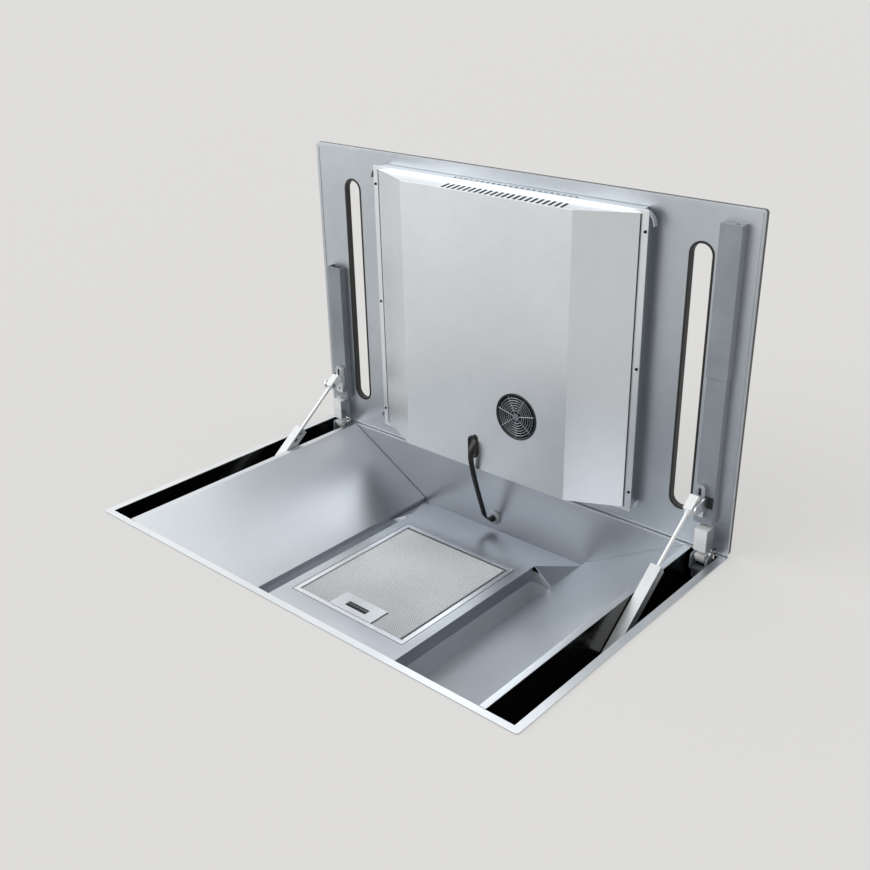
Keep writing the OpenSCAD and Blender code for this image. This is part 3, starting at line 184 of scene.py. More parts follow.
# What the finishes share. Noise stays near its middle, so only that part of it is spread out
noiseLook = {"rough": (0.3, 0.7), "colour": (0.35, 0.65)}
sheetLook = {"patch": (0.2, 0.2, 0.2), "patchDetail": 1.0, "grainShare": 0.3,
             "patchShare": 0.7, "depth": 0.0002}
mouldLook = {"patch": (0.07, 0.07, 0.07), "patchDetail": 3.0, "peelDetail": 2.0,
             "depth": 0.0003, "ior": 1.5}


def spread(tree, value, low, high):
    start, end = noiseLook["rough"]
    return addNode(tree, "ShaderNodeMapRange",
                   {"From Min": start, "From Max": end, "To Min": low, "To Max": high},
                   {"Value": value})


def blendColours(tree, value, first, second):
    ramp = addNode(tree, "ShaderNodeValToRGB", None, {"Fac": value})
    stops = ramp.color_ramp.elements
    for stop, position, colour in zip(stops, noiseLook["colour"], (first, second)):
        stop.position = position
        stop.color = toLinear(colour)
    return ramp


def metalSheet(name, look):
    # Fine grain for colour and roughness, broad soft patches, and a bump from the grain
    material, tree, surface = startMaterial(name, {"Metallic": look.get("metal", 1.0)})
    grain = grainTexture(tree, look["grain"])
    patch = grainTexture(tree, sheetLook["patch"], sheetLook["patchDetail"])
    broad = addNode(tree, "ShaderNodeMath",
                    {"operation": "MULTIPLY", 1: sheetLook["patchShare"]},
                    {0: patch.outputs["Fac"]})
    mixed = addNode(tree, "ShaderNodeMath",
                    {"operation": "MULTIPLY_ADD", 1: sheetLook["grainShare"]},
                    {0: grain.outputs["Fac"], 2: broad.outputs[0]})
    colour = blendColours(tree, mixed.outputs[0], look["dark"], look["light"])
    rough = spread(tree, grain.outputs["Fac"], look["rough"][0], look["rough"][1])
    bump = addNode(tree, "ShaderNodeBump",
                   {"Strength": look["bump"], "Distance": sheetLook["depth"]},
                   {"Height": grain.outputs["Fac"]})
    tree.links.new(colour.outputs[0], surface.inputs["Base Color"])
    tree.links.new(rough.outputs[0], surface.inputs["Roughness"])
    tree.links.new(bump.outputs[0], surface.inputs["Normal"])
    return material


def paintOrPlastic(name, look):
    # Orange peel or moulding texture, with dust-like lightening in broad patches
    material, tree, surface = startMaterial(
        name, {"Metallic": 0.0, "IOR": mouldLook["ior"],
               "Coat Weight": look.get("coat", 0.0)})
    peel = grainTexture(tree, [look["peel"]] * 3, mouldLook["peelDetail"])
    patch = grainTexture(tree, mouldLook["patch"], mouldLook["patchDetail"])
    colour = blendColours(tree, patch.outputs["Fac"], look["dark"], look["light"])
    rough = spread(tree, patch.outputs["Fac"], look["rough"][0], look["rough"][1])
    bump = addNode(tree, "ShaderNodeBump",
                   {"Strength": look["bump"], "Distance": mouldLook["depth"]},
                   {"Height": peel.outputs["Fac"]})
    tree.links.new(colour.outputs[0], surface.inputs["Base Color"])
    tree.links.new(rough.outputs[0], surface.inputs["Roughness"])
    tree.links.new(bump.outputs[0], surface.inputs["Normal"])
    return material


# Grain sizes are metres; real satin lines of 0.1 mm are drawn 1 mm wide so that they show
finishes = {
    # stainless steel, satin polished: an even, nearly white sheen on the narrow bands
    "satinSteel": metalSheet("satinSteel", {
        "dark": "#c9cdd1", "light": "#d6d9dc", "grain": (0.03, 0.03, 0.001),
        "rough": (0.32, 0.35), "bump": 0.004}),
    # stainless steel sheet of the basin: cool grey, cloudy, with the faintest rolled grain
    "brushedSteel": metalSheet("brushedSteel", {
        "dark": "#a9aeb5", "light": "#b5bac0", "grain": (0.06, 0.0012, 0.0012),
        "rough": (0.36, 0.39), "bump": 0.003}),
    # side troughs' pickled steel: duller, with painted light to stay grey in their own shade
    "troughSteel": metalSheet("troughSteel", {
        "metal": 0.45, "dark": "#c4c9cf", "light": "#d0d4d9", "grain": (0.02, 0.02, 0.02),
        "rough": (0.45, 0.52), "bump": 0.01}),
    # bright annealed steel of the guides: soft wide reflections
    "brightSteel": metalSheet("brightSteel", {
        "dark": "#c0c5ca", "light": "#cbcfd4", "grain": (0.0012, 0.06, 0.0012),
        "rough": (0.31, 0.34), "bump": 0.003}),
    # satin steel sheet of the cover: smooth, with clouds a hand wide
    "coverSteel": metalSheet("coverSteel", {
        "dark": "#dce0e3", "light": "#e4e7ea", "grain": (0.02, 0.02, 0.02),
        "rough": (0.37, 0.40), "bump": 0.002}),
    # hot-dip galvanised sheet: flat grey with faint spangle
    "zincSheet": metalSheet("zincSheet", {
        "dark": "#9499a0", "light": "#b0b5bb", "grain": (0.012, 0.012, 0.012),
        "rough": (0.38, 0.50), "bump": 0.03}),
    # anodised aluminium panel: matt mid grey, even
    "anodisedPanel": metalSheet("anodisedPanel", {
        "dark": "#b7bdc3", "light": "#c1c6cc", "grain": (0.02, 0.02, 0.02),
        "rough": (0.41, 0.44), "bump": 0.003}),
    # bright zinc plating: light, slightly blue, with small scuffs
    "zincPlate": metalSheet("zincPlate", {
        "dark": "#c2c6ca", "light": "#dcdfe2", "grain": (0.006, 0.006, 0.006),
        "rough": (0.28, 0.38), "bump": 0.03}),
    # the strut tubes' plating: the same, a tone duller
    "tubeZinc": metalSheet("tubeZinc", {
        "metal": 0.6, "dark": "#c3c7ca", "light": "#d5d8da", "grain": (0.006, 0.006, 0.006),
        "rough": (0.36, 0.44), "bump": 0.02}),
    # ground and polished rod: clean white highlights
    "polishedRod": metalSheet("polishedRod", {
        "dark": "#dadde0", "light": "#f1f2f4", "grain": (0.004, 0.0006, 0.0006),
        "rough": (0.12, 0.20), "bump": 0.01}),
    # bright rolled aluminium of the filter frame: light, with small scuffs
    "filterAluminium": metalSheet("filterAluminium", {
        "dark": "#bfc3c8", "light": "#e2e5e8", "grain": (0.004, 0.004, 0.004),
        "rough": (0.30, 0.40), "bump": 0.04}),
    # expanded aluminium of the mesh: half dull, so that each strand stays light
    "meshAluminium": metalSheet("meshAluminium", {
        "metal": 0.5, "dark": "#c9cdd1", "light": "#e6e9eb", "grain": (0.003, 0.003, 0.003),
        "rough": (0.30, 0.42), "bump": 0.04}),
    # the filter's inner layers, in their own shade: dark grey through the openings
    "meshShade": metalSheet("meshShade", {
        "metal": 0.3, "dark": "#4c5156", "light": "#666b70", "grain": (0.003, 0.003, 0.003),
        "rough": (0.5, 0.6), "bump": 0.1}),
    # extruded aluminium of heat sink and coil plate: soft lines along the draw
    "millAluminium": metalSheet("millAluminium", {
        "dark": "#a3a8ad", "light": "#c9cdd1", "grain": (0.002, 0.05, 0.002),
        "rough": (0.32, 0.46), "bump": 0.04}),
    # dark bright steel of the fan guard's wires: grey with sharp small highlights
    "wireSteel": metalSheet("wireSteel", {
        "dark": "#7d8389", "light": "#a3a9ae", "grain": (0.003, 0.003, 0.003),
        "rough": (0.22, 0.34), "bump": 0.02}),
    # blackened screws: dark, oily, half metallic
    "blackenedSteel": metalSheet("blackenedSteel", {
        "dark": "#17181a", "light": "#2a2c2f", "grain": (0.002, 0.002, 0.002),
        "rough": (0.32, 0.5), "bump": 0.05}),
    # grey powder coat of the rails: even, with a faint orange peel
    "railCoat": paintOrPlastic("railCoat", {
        "dark": "#7f858c", "light": "#8b9198", "peel": 0.0016, "rough": (0.36, 0.44),
        "bump": 0.03}),
    # black stove enamel of the pockets: deep and glossy, with soft reflections
    "stoveBlack": paintOrPlastic("stoveBlack", {
        "dark": "#050506", "light": "#0d0e0f", "peel": 0.005, "rough": (0.14, 0.26),
        "bump": 0.08, "coat": 0.4}),
    # moulded white nylon of the hinge arms and strut ends: nearly white, soft sheen
    "hingeWhite": paintOrPlastic("hingeWhite", {
        "dark": "#e6e8e9", "light": "#f3f4f4", "peel": 0.0012, "rough": (0.38, 0.5),
        "bump": 0.06}),
    # cast zinc of the hinge bases: matt grey with a pebbled skin
    "castZinc": paintOrPlastic("castZinc", {
        "dark": "#868c92", "light": "#9fa5ab", "peel": 0.0015, "rough": (0.42, 0.6),
        "bump": 0.2}),
    # glass-filled nylon, black: dull with a fine moulded texture
    # the same black is the painted shade inside the cover, behind its vents and in the rails'
    # slots
    "blackNylon": paintOrPlastic("blackNylon", {
        "dark": "#0c0c0d", "light": "#1c1d1f", "peel": 0.001, "rough": (0.42, 0.6),
        "bump": 0.2}),
    # synthetic rubber: nearly black, with worn lighter patches
    "blackRubber": paintOrPlastic("blackRubber", {
        "dark": "#0b0b0c", "light": "#141517", "peel": 0.0008, "rough": (0.40, 0.50),
        "bump": 0.08}),
    # pale grey rubber of the grommet: soft sheen, no grain
    "greyRubber": paintOrPlastic("greyRubber", {
        "dark": "#8f959b", "light": "#a4aaaf", "peel": 0.0012, "rough": (0.32, 0.45),
        "bump": 0.06}),
    # moulded ABS of the blower wheel and the cable clamp: white and smooth
    "whiteAbs": paintOrPlastic("whiteAbs", {
        "dark": "#d6d8d9", "light": "#ebecec", "peel": 0.0015, "rough": (0.35, 0.5),
        "bump": 0.1}),
    # moulded ABS of the scroll and the duct: dark grey with a moulded skin
    "greyAbs": paintOrPlastic("greyAbs", {
        "dark": "#55595e", "light": "#6b7076", "peel": 0.0018, "rough": (0.4, 0.55),
        "bump": 0.15}),
    # fired ferrite and cast iron: dark, dry and grainy
    "ferrite": paintOrPlastic("ferrite", {
        "dark": "#232427", "light": "#35373b", "peel": 0.0012, "rough": (0.55, 0.75),
        "bump": 0.3}),
    # solder resist over a glass-fibre board: dark green and glossy
    "solderGreen": paintOrPlastic("solderGreen", {
        "dark": "#0f3d22", "light": "#1c5a34", "peel": 0.002, "rough": (0.22, 0.36),
        "bump": 0.05, "coat": 0.2}),
    # enamelled copper litz: brown-red strands under a varnish
    "litzCopper": metalSheet("litzCopper", {
        "dark": "#8a4a2a", "light": "#b9714a", "grain": (0.0012, 0.0012, 0.0012),
        "rough": (0.3, 0.45), "bump": 0.3}),
}


# ceramic glass, black through and fire polished: a mirror face with faint cloudy zones
glassLook = {"ior": 1.52, "cloud": (0.2, 0.2, 0.2), "detail": 2.0, "dark": "#050506",
             "light": "#0c0c0e", "rough": (0.04, 0.09)}


def glassFinish(look):
    material, tree, surface = startMaterial(
        "ceramicGlass", {"Metallic": 0.0, "IOR": look["ior"]})
    tint = grainTexture(tree, look["cloud"], look["detail"])
    colour = blendColours(tree, tint.outputs["Fac"], look["dark"], look["light"])
    rough = spread(tree, tint.outputs["Fac"], look["rough"][0], look["rough"][1])
    tree.links.new(colour.outputs[0], surface.inputs["Base Color"])
    tree.links.new(rough.outputs[0], surface.inputs["Roughness"])
    return material


finishes["ceramicGlass"] = glassFinish(glassLook)

finishOf = {
    "satinSteel": ["rim_frame", "coil_tray", "latch_plate"],
    "brushedSteel": ["basin_tub", "basin_floor"],
    "troughSteel": ["gutter_troughs"],
    "brightSteel": ["left_guide_panel", "right_guide_panel"],
    "coverSteel": ["casing_cover"],
    "zincSheet": ["casing_base", "casing_sides", "casing_ends", "blower_box",
                  "inlet_plenum", "terminal_box"],
    "anodisedPanel": ["lid_carrier", "lid_seal"],
    "zincPlate": ["mounting_clips", "strut_brackets", "left_strut_mount",
                  "right_strut_mount"],
    "tubeZinc": ["left_strut_tube", "right_strut_tube"],
    "polishedRod": ["left_strut_rod", "right_strut_rod", "hinge_pins"],
    "filterAluminium": ["filter_frame"],
    "meshAluminium": ["filter_mesh"],
    "millAluminium": ["heat_sink", "coil_plate"],
    "railCoat": ["left_rail", "right_rail", "right_rail_sleeve"],
    "stoveBlack": ["pocket_walls", "pocket_floors", "pocket_ends"],
    "hingeWhite": ["hinge_arms"],
    "castZinc": ["left_hinge_base", "right_hinge_base"],
    "blackNylon": ["cooling_fan_frame", "cooling_fan_rotor", "cable_gland",
                   "left_slot_liner", "right_slot_liner", "latch_slider"],
    "blackenedSteel": ["casing_screws", "fan_grille"],
    "greyRubber": ["wall_grommet"],
    "whiteAbs": ["blower_wheel", "cable_clamp"],
    "greyAbs": ["blower_scroll", "outlet_duct"],
    "ferrite": ["ferrite_bars", "blower_motor"],
    "solderGreen": ["blower_control_board", "power_boards", "touch_control_board"],
    "litzCopper": ["induction_coils"],
    "ceramicGlass": ["glass_top"],
}
for finish, names in finishOf.items():
    for name in names:
        mesh = nodes[name].data
        mesh.materials.clear()
        mesh.materials.append(finishes[finish])
cable.data.materials.append(finishes["blackRubber"])
print("finishes made:", len(finishes))


def selectOnly(piece):
    bpy.ops.object.select_all(action="DESELECT")
    bpy.context.view_layer.objects.active = piece
    piece.select_set(True)


def applyPlace(piece):
    selectOnly(piece)
    bpy.ops.object.transform_apply(location=True, rotation=True, scale=True)


# Shared by the shapes: what counts as one point, in metres, and soft edges, in degrees
shapeLook = {"merge": 0.00001, "ringSmooth": 40, "flat": 0.5, "sharp": 18, "smooth": 35}


def turnedRing(profile, sides, stretch=0.0):
    # A profile of (radius, height) in millimetres, turned about Z
    (radius, height), *more = profile
    bpy.ops.mesh.primitive_circle_add(vertices=sides, radius=radius / 1000,
                                      fill_type="NOTHING")
    piece = bpy.context.object
    bpy.ops.object.mode_set(mode="EDIT")
    bpy.ops.mesh.select_mode(type="EDGE")
    bpy.ops.mesh.select_all(action="SELECT")
    bpy.ops.transform.translate(value=(0, 0, height / 1000))
    for wider, higher in more:
        bpy.ops.mesh.extrude_edges_move(
            TRANSFORM_OT_translate={"value": (0, 0, (higher - height) / 1000)})
        bpy.ops.transform.resize(value=(wider / radius, wider / radius, 1))
        radius, height = wider, higher
    bpy.ops.mesh.select_all(action="SELECT")
    bpy.ops.mesh.remove_doubles(threshold=shapeLook["merge"])
    bpy.ops.mesh.normals_make_consistent(inside=False)
    bpy.ops.object.mode_set(mode="OBJECT")
    for vertex in piece.data.vertices:
        vertex.co.y += math.copysign(stretch / 1000, vertex.co.y)
    bpy.ops.object.shade_smooth_by_angle(angle=math.radians(shapeLook["ringSmooth"]))
    return piece


def block(low, high):
    # A box between two corners in millimetres
    middle = [(a + b) / 2000 for a, b in zip(low, high)]
    bpy.ops.mesh.primitive_cube_add(size=1, location=middle)
    piece = bpy.context.object
    bpy.ops.object.mode_set(mode="EDIT")
    bpy.ops.mesh.select_all(action="SELECT")
    bpy.ops.transform.resize(value=[(b - a) / 1000 for a, b in zip(low, high)])
    bpy.ops.object.mode_set(mode="OBJECT")
    applyPlace(piece)
    return piece


def applyModifier(piece, kind, settings):
    selectOnly(piece)
    change = piece.modifiers.new(kind.lower(), kind)
    for name, value in settings.items():
        setattr(change, name, value)
    bpy.ops.object.modifier_apply(modifier=change.name)


def combine(piece, other, operation):
    applyModifier(piece, "BOOLEAN", {"operation": operation, "object": other,
                                     "solver": "EXACT"})
    bpy.data.objects.remove(other)


def joinOnto(piece, *others):
    selectOnly(piece)
    for other in others:
        other.select_set(True)
    bpy.ops.object.join()


def millimetres(place):
    return Matrix.Translation(Vector(place) / 1000)


def camel(node):
    first, *rest = node.split("_")
    return first + "".join(word.capitalize() for word in rest)


def keepPiece(piece, name, finish, body, replaced=()):
    piece.name = name
    piece.data.name = name
    applyPlace(piece)
    if finish:
        piece.data.materials.clear()
        piece.data.materials.append(finishes[finish])
    piece.select_set(False)
    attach(piece, body)
    if replaced:
        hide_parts(*replaced)
    return piece


def softenEdges(node, look):
    # The sheet or casting with its edges broken, as a deburred or moulded part has
    piece = nodes[node].copy()
    piece.data = nodes[node].data.copy()
    piece.parent = None
    for key in list(piece.keys()):
        del piece[key]
    bpy.context.scene.collection.objects.link(piece)
    selectOnly(piece)
    bpy.ops.mesh.customdata_custom_splitnormals_clear()
    bpy.ops.object.mode_set(mode="EDIT")
    bpy.ops.mesh.select_all(action="SELECT")
    bpy.ops.mesh.remove_doubles(threshold=shapeLook["merge"])
    bpy.ops.mesh.dissolve_limited(angle_limit=math.radians(shapeLook["flat"]))
    bpy.ops.object.mode_set(mode="OBJECT")
    applyModifier(piece, "BEVEL", {
        "limit_method": "ANGLE", "angle_limit": math.radians(shapeLook["sharp"]),
        "width": look["width"], "segments": look["segments"]})
    bpy.ops.object.shade_smooth_by_angle(angle=math.radians(shapeLook["smooth"]))
    applyModifier(piece, "WEIGHTED_NORMAL", {"keep_sharp": True})
    finish = next(f for f, names in finishOf.items() if node in names)
    return keepPiece(piece, camel(node), finish, bodyOf[node], [node])


def paintFaces(piece, finish, test):
    # A second finish on the faces whose centre and normal pass the test, in metres
    piece.data.materials.append(finishes[finish])
    last = len(piece.data.materials) - 1
    for face in piece.data.polygons:
        if test(face.center, face.normal):
            face.material_index = last


# Edge radii in metres, by how each piece is made
edgeLook = {
    "sheet": ({"width": 0.00035, "segments": 2}, [
        "rim_frame", "basin_tub", "basin_floor", "left_guide_panel", "right_guide_panel",
        "coil_tray", "lid_carrier", "left_slot_liner", "right_slot_liner", "left_rail",
        "right_rail", "right_rail_sleeve", "filter_frame", "latch_plate", "blower_box",
        "terminal_box", "mounting_clips"]),
    "folded": ({"width": 0.0003, "segments": 3}, ["casing_cover"]),
    "ground": ({"width": 0.0012, "segments": 3}, ["glass_top"]),
    "cast": ({"width": 0.0005, "segments": 3}, [
        "left_hinge_base", "right_hinge_base", "hinge_arms", "cable_clamp",
        "latch_slider"]),
    "turned": ({"width": 0.0006, "segments": 2}, [
        "left_strut_rod", "right_strut_rod", "left_strut_tube", "right_strut_tube",
        "strut_brackets", "left_strut_mount", "right_strut_mount", "hinge_pins"]),
}
pieces = {}
for look, names in edgeLook.values():
    for name in names:
        pieces[name] = softenEdges(name, look)
print("edges broken")

# The lid's own axes: its hinge, the way it faces, and its closed place turned open
lidHinge = joints["lid_hinge"]
hingePlace = Vector(lidHinge["pos_m"])
lidTurn = Matrix.Rotation(-math.radians(lidHinge["range_deg"][1]), 4, "X")
opened = Matrix.Translation(hingePlace) @ lidTurn @ Matrix.Translation(-hingePlace)
lidDown = lidTurn @ Vector((0, 0, -1))

# Second finishes: where each strut's rod has its nylon end, and its tube the black cylinder
strutLook = {"end": 0.0215, "bore": 0.0064}
for side in ("left", "right"):
    top = Vector(joints[side + "_strut_pivot"]["pos_m"])
    up = Vector(joints[side + "_strut_slide"]["axis"])
    paintFaces(pieces[side + "_strut_rod"], "hingeWhite",
               lambda c, n: (top - c).dot(up) < strutLook["end"])
    paintFaces(pieces[side + "_strut_tube"], "blackRubber",
               lambda c, n: ((c - top) - (c - top).dot(up) * up).length < strutLook["bore"])
# The glass is coated grey underneath, so only its ground edge is black from there
facing = 0.98
paintFaces(pieces["glass_top"], "anodisedPanel", lambda c, n: n.dot(lidDown) > facing)
# Latch slider: black, with bright ribs on the far half of its grip
latchLook = {"ribsFrom": -0.1065, "ribsUnder": 0.0002, "facing": 0.9}
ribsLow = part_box("latch_slider")[1].z - latchLook["ribsUnder"]
paintFaces(pieces["latch_slider"], "wireSteel",
           lambda c, n: (n.z > latchLook["facing"] and c.z > ribsLow
                         and c.y > latchLook["ribsFrom"]))
print("second finishes laid")

# New pieces, in millimetres. What is on the lid is placed in the closed pose and turned open
fanLook = {
    "centre": (69.5, 105.5, -59), "wire": 0.62, "spokes": 7, "spokeWide": 1.2, "first": -13,
    "hub": 6, "hubHeight": 1.8, "depth": -0.4, "bowlSides": 72, "hubSides": 32,
    "ringSides": (56, 8), "spokeSides": 10, "smooth": 50,
    "rings": (31.6, 27.5, 23.4, 19.3, 15.2, 11.1),
    "bowl": [(39, -0.05), (39, -0.8), (38.3, -1.3), (37.2, -1.3), (35.2, 0.3), (34.4, 2.4),
             (36.2, 2.4), (36.6, -0.05), (39, -0.05)]}
bushLook = {
    "centre": (-18, 183.8, -59), "stretch": 9.7, "sides": 46,
    "profile": [(10.3, -0.05), (10.3, -1.1), (9.6, -1.9), (8.2, -2.0), (6.4, -1.2),
                (5.6, -0.2), (0.004, -0.2)]}
grommetLook = {
    "centre": (-14.5, 0, -81), "sides": 40,
    "ring": [(4.9, 254), (4.9, 246.4), (6.4, 245.8), (9.4, 246.2), (12.4, 247.4),
             (13, 248.4), (13, 249.5), (7, 249.6), (7, 254), (4.9, 254)],
    "boot": [(4.7, 239.4), (5.4, 239.8), (5.4, 241.4), (4.9, 241.8), (4.9, 242.6),
             (5.5, 243), (5.5, 245.2), (5, 246.3), (4.7, 246.3), (4.7, 239.4)]}
hingeLook = {
    "x": 380, "drum": 22.7, "drumWide": 16, "drumTop": 2.6, "drumBack": 249, "cavity": 23.9,
    "cavityWide": 16.8, "skin": 1.4, "sides": 96, "drumFront": 200, "drumFoot": -60,
    "channel": ((370, 232, -20.6), (390, 249.4, -8)), "channelRound": 0.0003,
    "drumRound": 0.0012, "facing": 0.9}
# Black plates of painted shade in the rails' slots, in millimetres
bufferLook = {"low": (380, 161.4, -12.3), "high": (389.8, 179.8, -11.4), "round": 0.3}


# Vents of the cover, longer than the plain solid's and leaning the other way
ventLook = {
    "count": 22, "first": -78, "last": 141, "wide": 4.8, "low": -57, "high": -32, "lean": -12,
    "front": -235, "sheet": 1.0, "fillSide": 20, "fillOver": 8, "through": 2, "shield": 0.4,
    "shadeSheetOver": 6, "shadeSheetUnder": 1, "deeper": 0.004, "downward": 0.2}


def placeOpen(piece):
    piece.matrix_world = opened @ piece.matrix_world
    return piece


def cutVents(cover, look):
    # The plain slots are closed with a strip of sheet, then the seen ones are cut through it
    front, sheet, low, high = (look[k] for k in ("front", "sheet", "low", "high"))
    left, right = look["first"] - look["fillSide"], look["last"] + look["fillSide"]
    fill = block((left, front, low), (right, front + sheet, high + look["fillOver"]))
    combine(cover, placeOpen(fill), "UNION")
    half = look["wide"] / 2
    cutter = block((look["first"] - half, front - look["through"], low),
                   (look["first"] + half, front + look["through"], high))
    tip = math.tan(math.radians(look["lean"])) * (high - low) / 1000
    for vertex in cutter.data.vertices:
        if vertex.co.z * 1000 > (low + high) / 2:
            vertex.co.x += tip
    step = (look["last"] - look["first"]) / (look["count"] - 1) / 1000
    applyModifier(cutter, "ARRAY", {
        "use_relative_offset": False, "use_constant_offset": True,
        "constant_offset_displace": (step, 0, 0), "count": look["count"]})
    combine(cover, placeOpen(cutter), "DIFFERENCE")
    applyModifier(cover, "WEIGHTED_NORMAL", {"keep_sharp": True})


def paintInside(cover, look):
    # Black painted shade on the cover's inner side and the slots' cut edges
    shut = opened.inverted()
    sheet = look["sheet"]
    coverLow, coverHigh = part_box("casing_cover")
    inside = (coverLow + coverHigh) / 2

    def dark(c, n):
        place = 1000 * (shut @ c)
        cutEdge = (abs(place.y - look["front"] - sheet / 2) < 0.6 * sheet
                   and abs((shut.to_3x3() @ n).y) < 0.5
                   and look["low"] - sheet < place.z < look["high"] + sheet)
        return cutEdge or (n.dot(lidDown) < look["downward"]
                           and (inside - c).dot(n) > look["deeper"])

    paintFaces(cover, "blackNylon", dark)


# A black sheet behind the vents: painted shade, so that the slots read dark
def makeShield(cover, look):
    behind = look["front"] + look["sheet"] + look["shield"]
    left, right = look["first"] - look["fillSide"], look["last"] + look["fillSide"]
    shield = placeOpen(block((left, behind, look["low"] - look["shadeSheetUnder"]),
                             (right, behind + look["shield"],
                              look["high"] + look["shadeSheetOver"])))
    applyPlace(shield)
    shield.data.materials.append(finishes["blackNylon"])
    joinOnto(cover, shield)


cover = pieces["casing_cover"]
cutVents(cover, ventLook)
paintInside(cover, ventLook)
makeShield(cover, ventLook)
print("vents cut:", ventLook["count"])


def makeFanGuard(look):
    bowl = turnedRing(look["bowl"], look["bowlSides"])
    bowl.data.materials.append(finishes["blackNylon"])
    bpy.ops.mesh.primitive_cylinder_add(
        vertices=look["hubSides"], radius=look["hub"] / 1000,
        depth=look["hubHeight"] / 1000, location=(0, 0, look["depth"] / 1000))
    wires = bpy.context.object
    applyPlace(wires)
    bpy.ops.object.mode_set(mode="EDIT")
    around, across = look["ringSides"]
    for radius in look["rings"]:
        bpy.ops.mesh.primitive_torus_add(
            location=(0, 0, look["depth"] / 1000), major_radius=radius / 1000,
            minor_radius=look["wire"] / 1000, major_segments=around, minor_segments=across)
    reach = look["bowl"][4][0] / 1000
    for k in range(look["spokes"]):
        angle = math.radians(look["first"] + 360 * k / look["spokes"])
        bpy.ops.mesh.primitive_cylinder_add(
            vertices=look["spokeSides"], radius=look["spokeWide"] * look["wire"] / 1000,
            depth=reach,
            location=(reach / 2 * math.cos(angle), reach / 2 * math.sin(angle),
                      look["depth"] / 1000), rotation=(0, math.pi / 2, angle))
    bpy.ops.object.mode_set(mode="OBJECT")
    bpy.ops.object.shade_smooth_by_angle(angle=math.radians(look["smooth"]))
    wires.data.materials.append(finishes["wireSteel"])
    joinOnto(bowl, wires)
    bowl.matrix_world = opened @ millimetres(look["centre"])
    keepPiece(bowl, "fanGuard", None, "lid", ["fan_grille"])


makeFanGuard(fanLook)
print("fan guard made")

bush = turnedRing(bushLook["profile"], bushLook["sides"], bushLook["stretch"])
bush.matrix_world = opened @ millimetres(bushLook["centre"])
keepPiece(bush, "cableBush", "blackRubber", "lid")
outward = Matrix.Rotation(-math.pi / 2, 4, "X")
for name, key, finish, slot in (("wallGrommet", "ring", "greyRubber", "wall_grommet"),
                                ("cableBoot", "boot", "blackRubber", "wall_grommet")):
    ring = turnedRing(grommetLook[key], grommetLook["sides"])
    ring.matrix_world = millimetres(grommetLook["centre"]) @ outward
    keepPiece(ring, name, finish, "hob_body",
              ["wall_grommet"] if key == "ring" else ())
print("cable bush, grommet and boot made")


def hingeCylinder(side, radius, wide):
    bpy.ops.mesh.primitive_cylinder_add(
        vertices=hingeLook["sides"], radius=radius / 1000, depth=wide / 1000,
        location=(side * hingeLook["x"] / 1000, hingePlace.y, hingePlace.z),
        rotation=(0, math.pi / 2, 0))
    piece = bpy.context.object
    applyPlace(piece)
    return piece


def makeHinges(look):
    # The white arm is a channel, which closes over the drum of the base
    arms = pieces["hinge_arms"]
    for side, base in ((-1, "left_hinge_base"), (1, "right_hinge_base")):
        combine(arms, hingeCylinder(side, look["cavity"], look["cavityWide"]), "DIFFERENCE")
        (x0, y0, z0), (x1, y1, z1) = look["channel"]
        x0, x1 = sorted((side * x0, side * x1))
        channel = block((x0, y0, z0), (x1, y1, z1))
        skin = look["skin"]
        combine(channel, block((x0 + skin, y0 - skin, z0 + skin),
                               (x1 - skin, y1 + skin, z1 + skin)), "DIFFERENCE")
        applyModifier(channel, "BEVEL", {"width": look["channelRound"], "segments": 2})
        channel.matrix_world = opened
        applyPlace(channel)
        joinOnto(arms, channel)
        wide = look["drumWide"]
        drum = hingeCylinder(side, look["drum"], wide)
        combine(drum, block((side * look["x"] - wide, look["drumFront"], look["drumFoot"]),
                            (side * look["x"] + wide, look["drumBack"], look["drumTop"])),
                "INTERSECT")
        applyModifier(drum, "BEVEL", {"width": look["drumRound"], "segments": 3})
        bpy.ops.object.shade_smooth_by_angle(angle=math.radians(shapeLook["smooth"]))
        joinOnto(pieces[base], drum)
    arms.data.materials.clear()
    arms.data.materials.append(finishes["hingeWhite"])
    for face in arms.data.polygons:
        face.material_index = 0
    paintFaces(arms, "castZinc", lambda c, n: abs(n.x) > look["facing"])


makeHinges(hingeLook)
# Painted shade: a thin black plate in each rail's slot, where the opening is dark
for side in (-1, 1):
    x0, x1 = sorted((side * bufferLook["low"][0], side * bufferLook["high"][0]))
    buffer = block((x0, *bufferLook["low"][1:]), (x1, *bufferLook["high"][1:]))
    applyModifier(buffer, "BEVEL", {"width": bufferLook["round"] / 1000, "segments": 2})
    buffer.matrix_world = opened
    keepPiece(buffer, "railBuffer" + ("Left" if side < 0 else "Right"), "blackNylon", "lid")
print("hinges and rail slotShades made")

# Expanded mesh of the grease filter: metres. A cell of 4.2 by 3.4 mm shows as it is
meshLook = {"cell": (0.0042, 0.0034), "open": 0.5, "dish": 0.0008, "under": 0.0016,
            "layer": 0.0016, "layerDeep": 0.001, "merge": 0.0001, "margin": 0.0005}


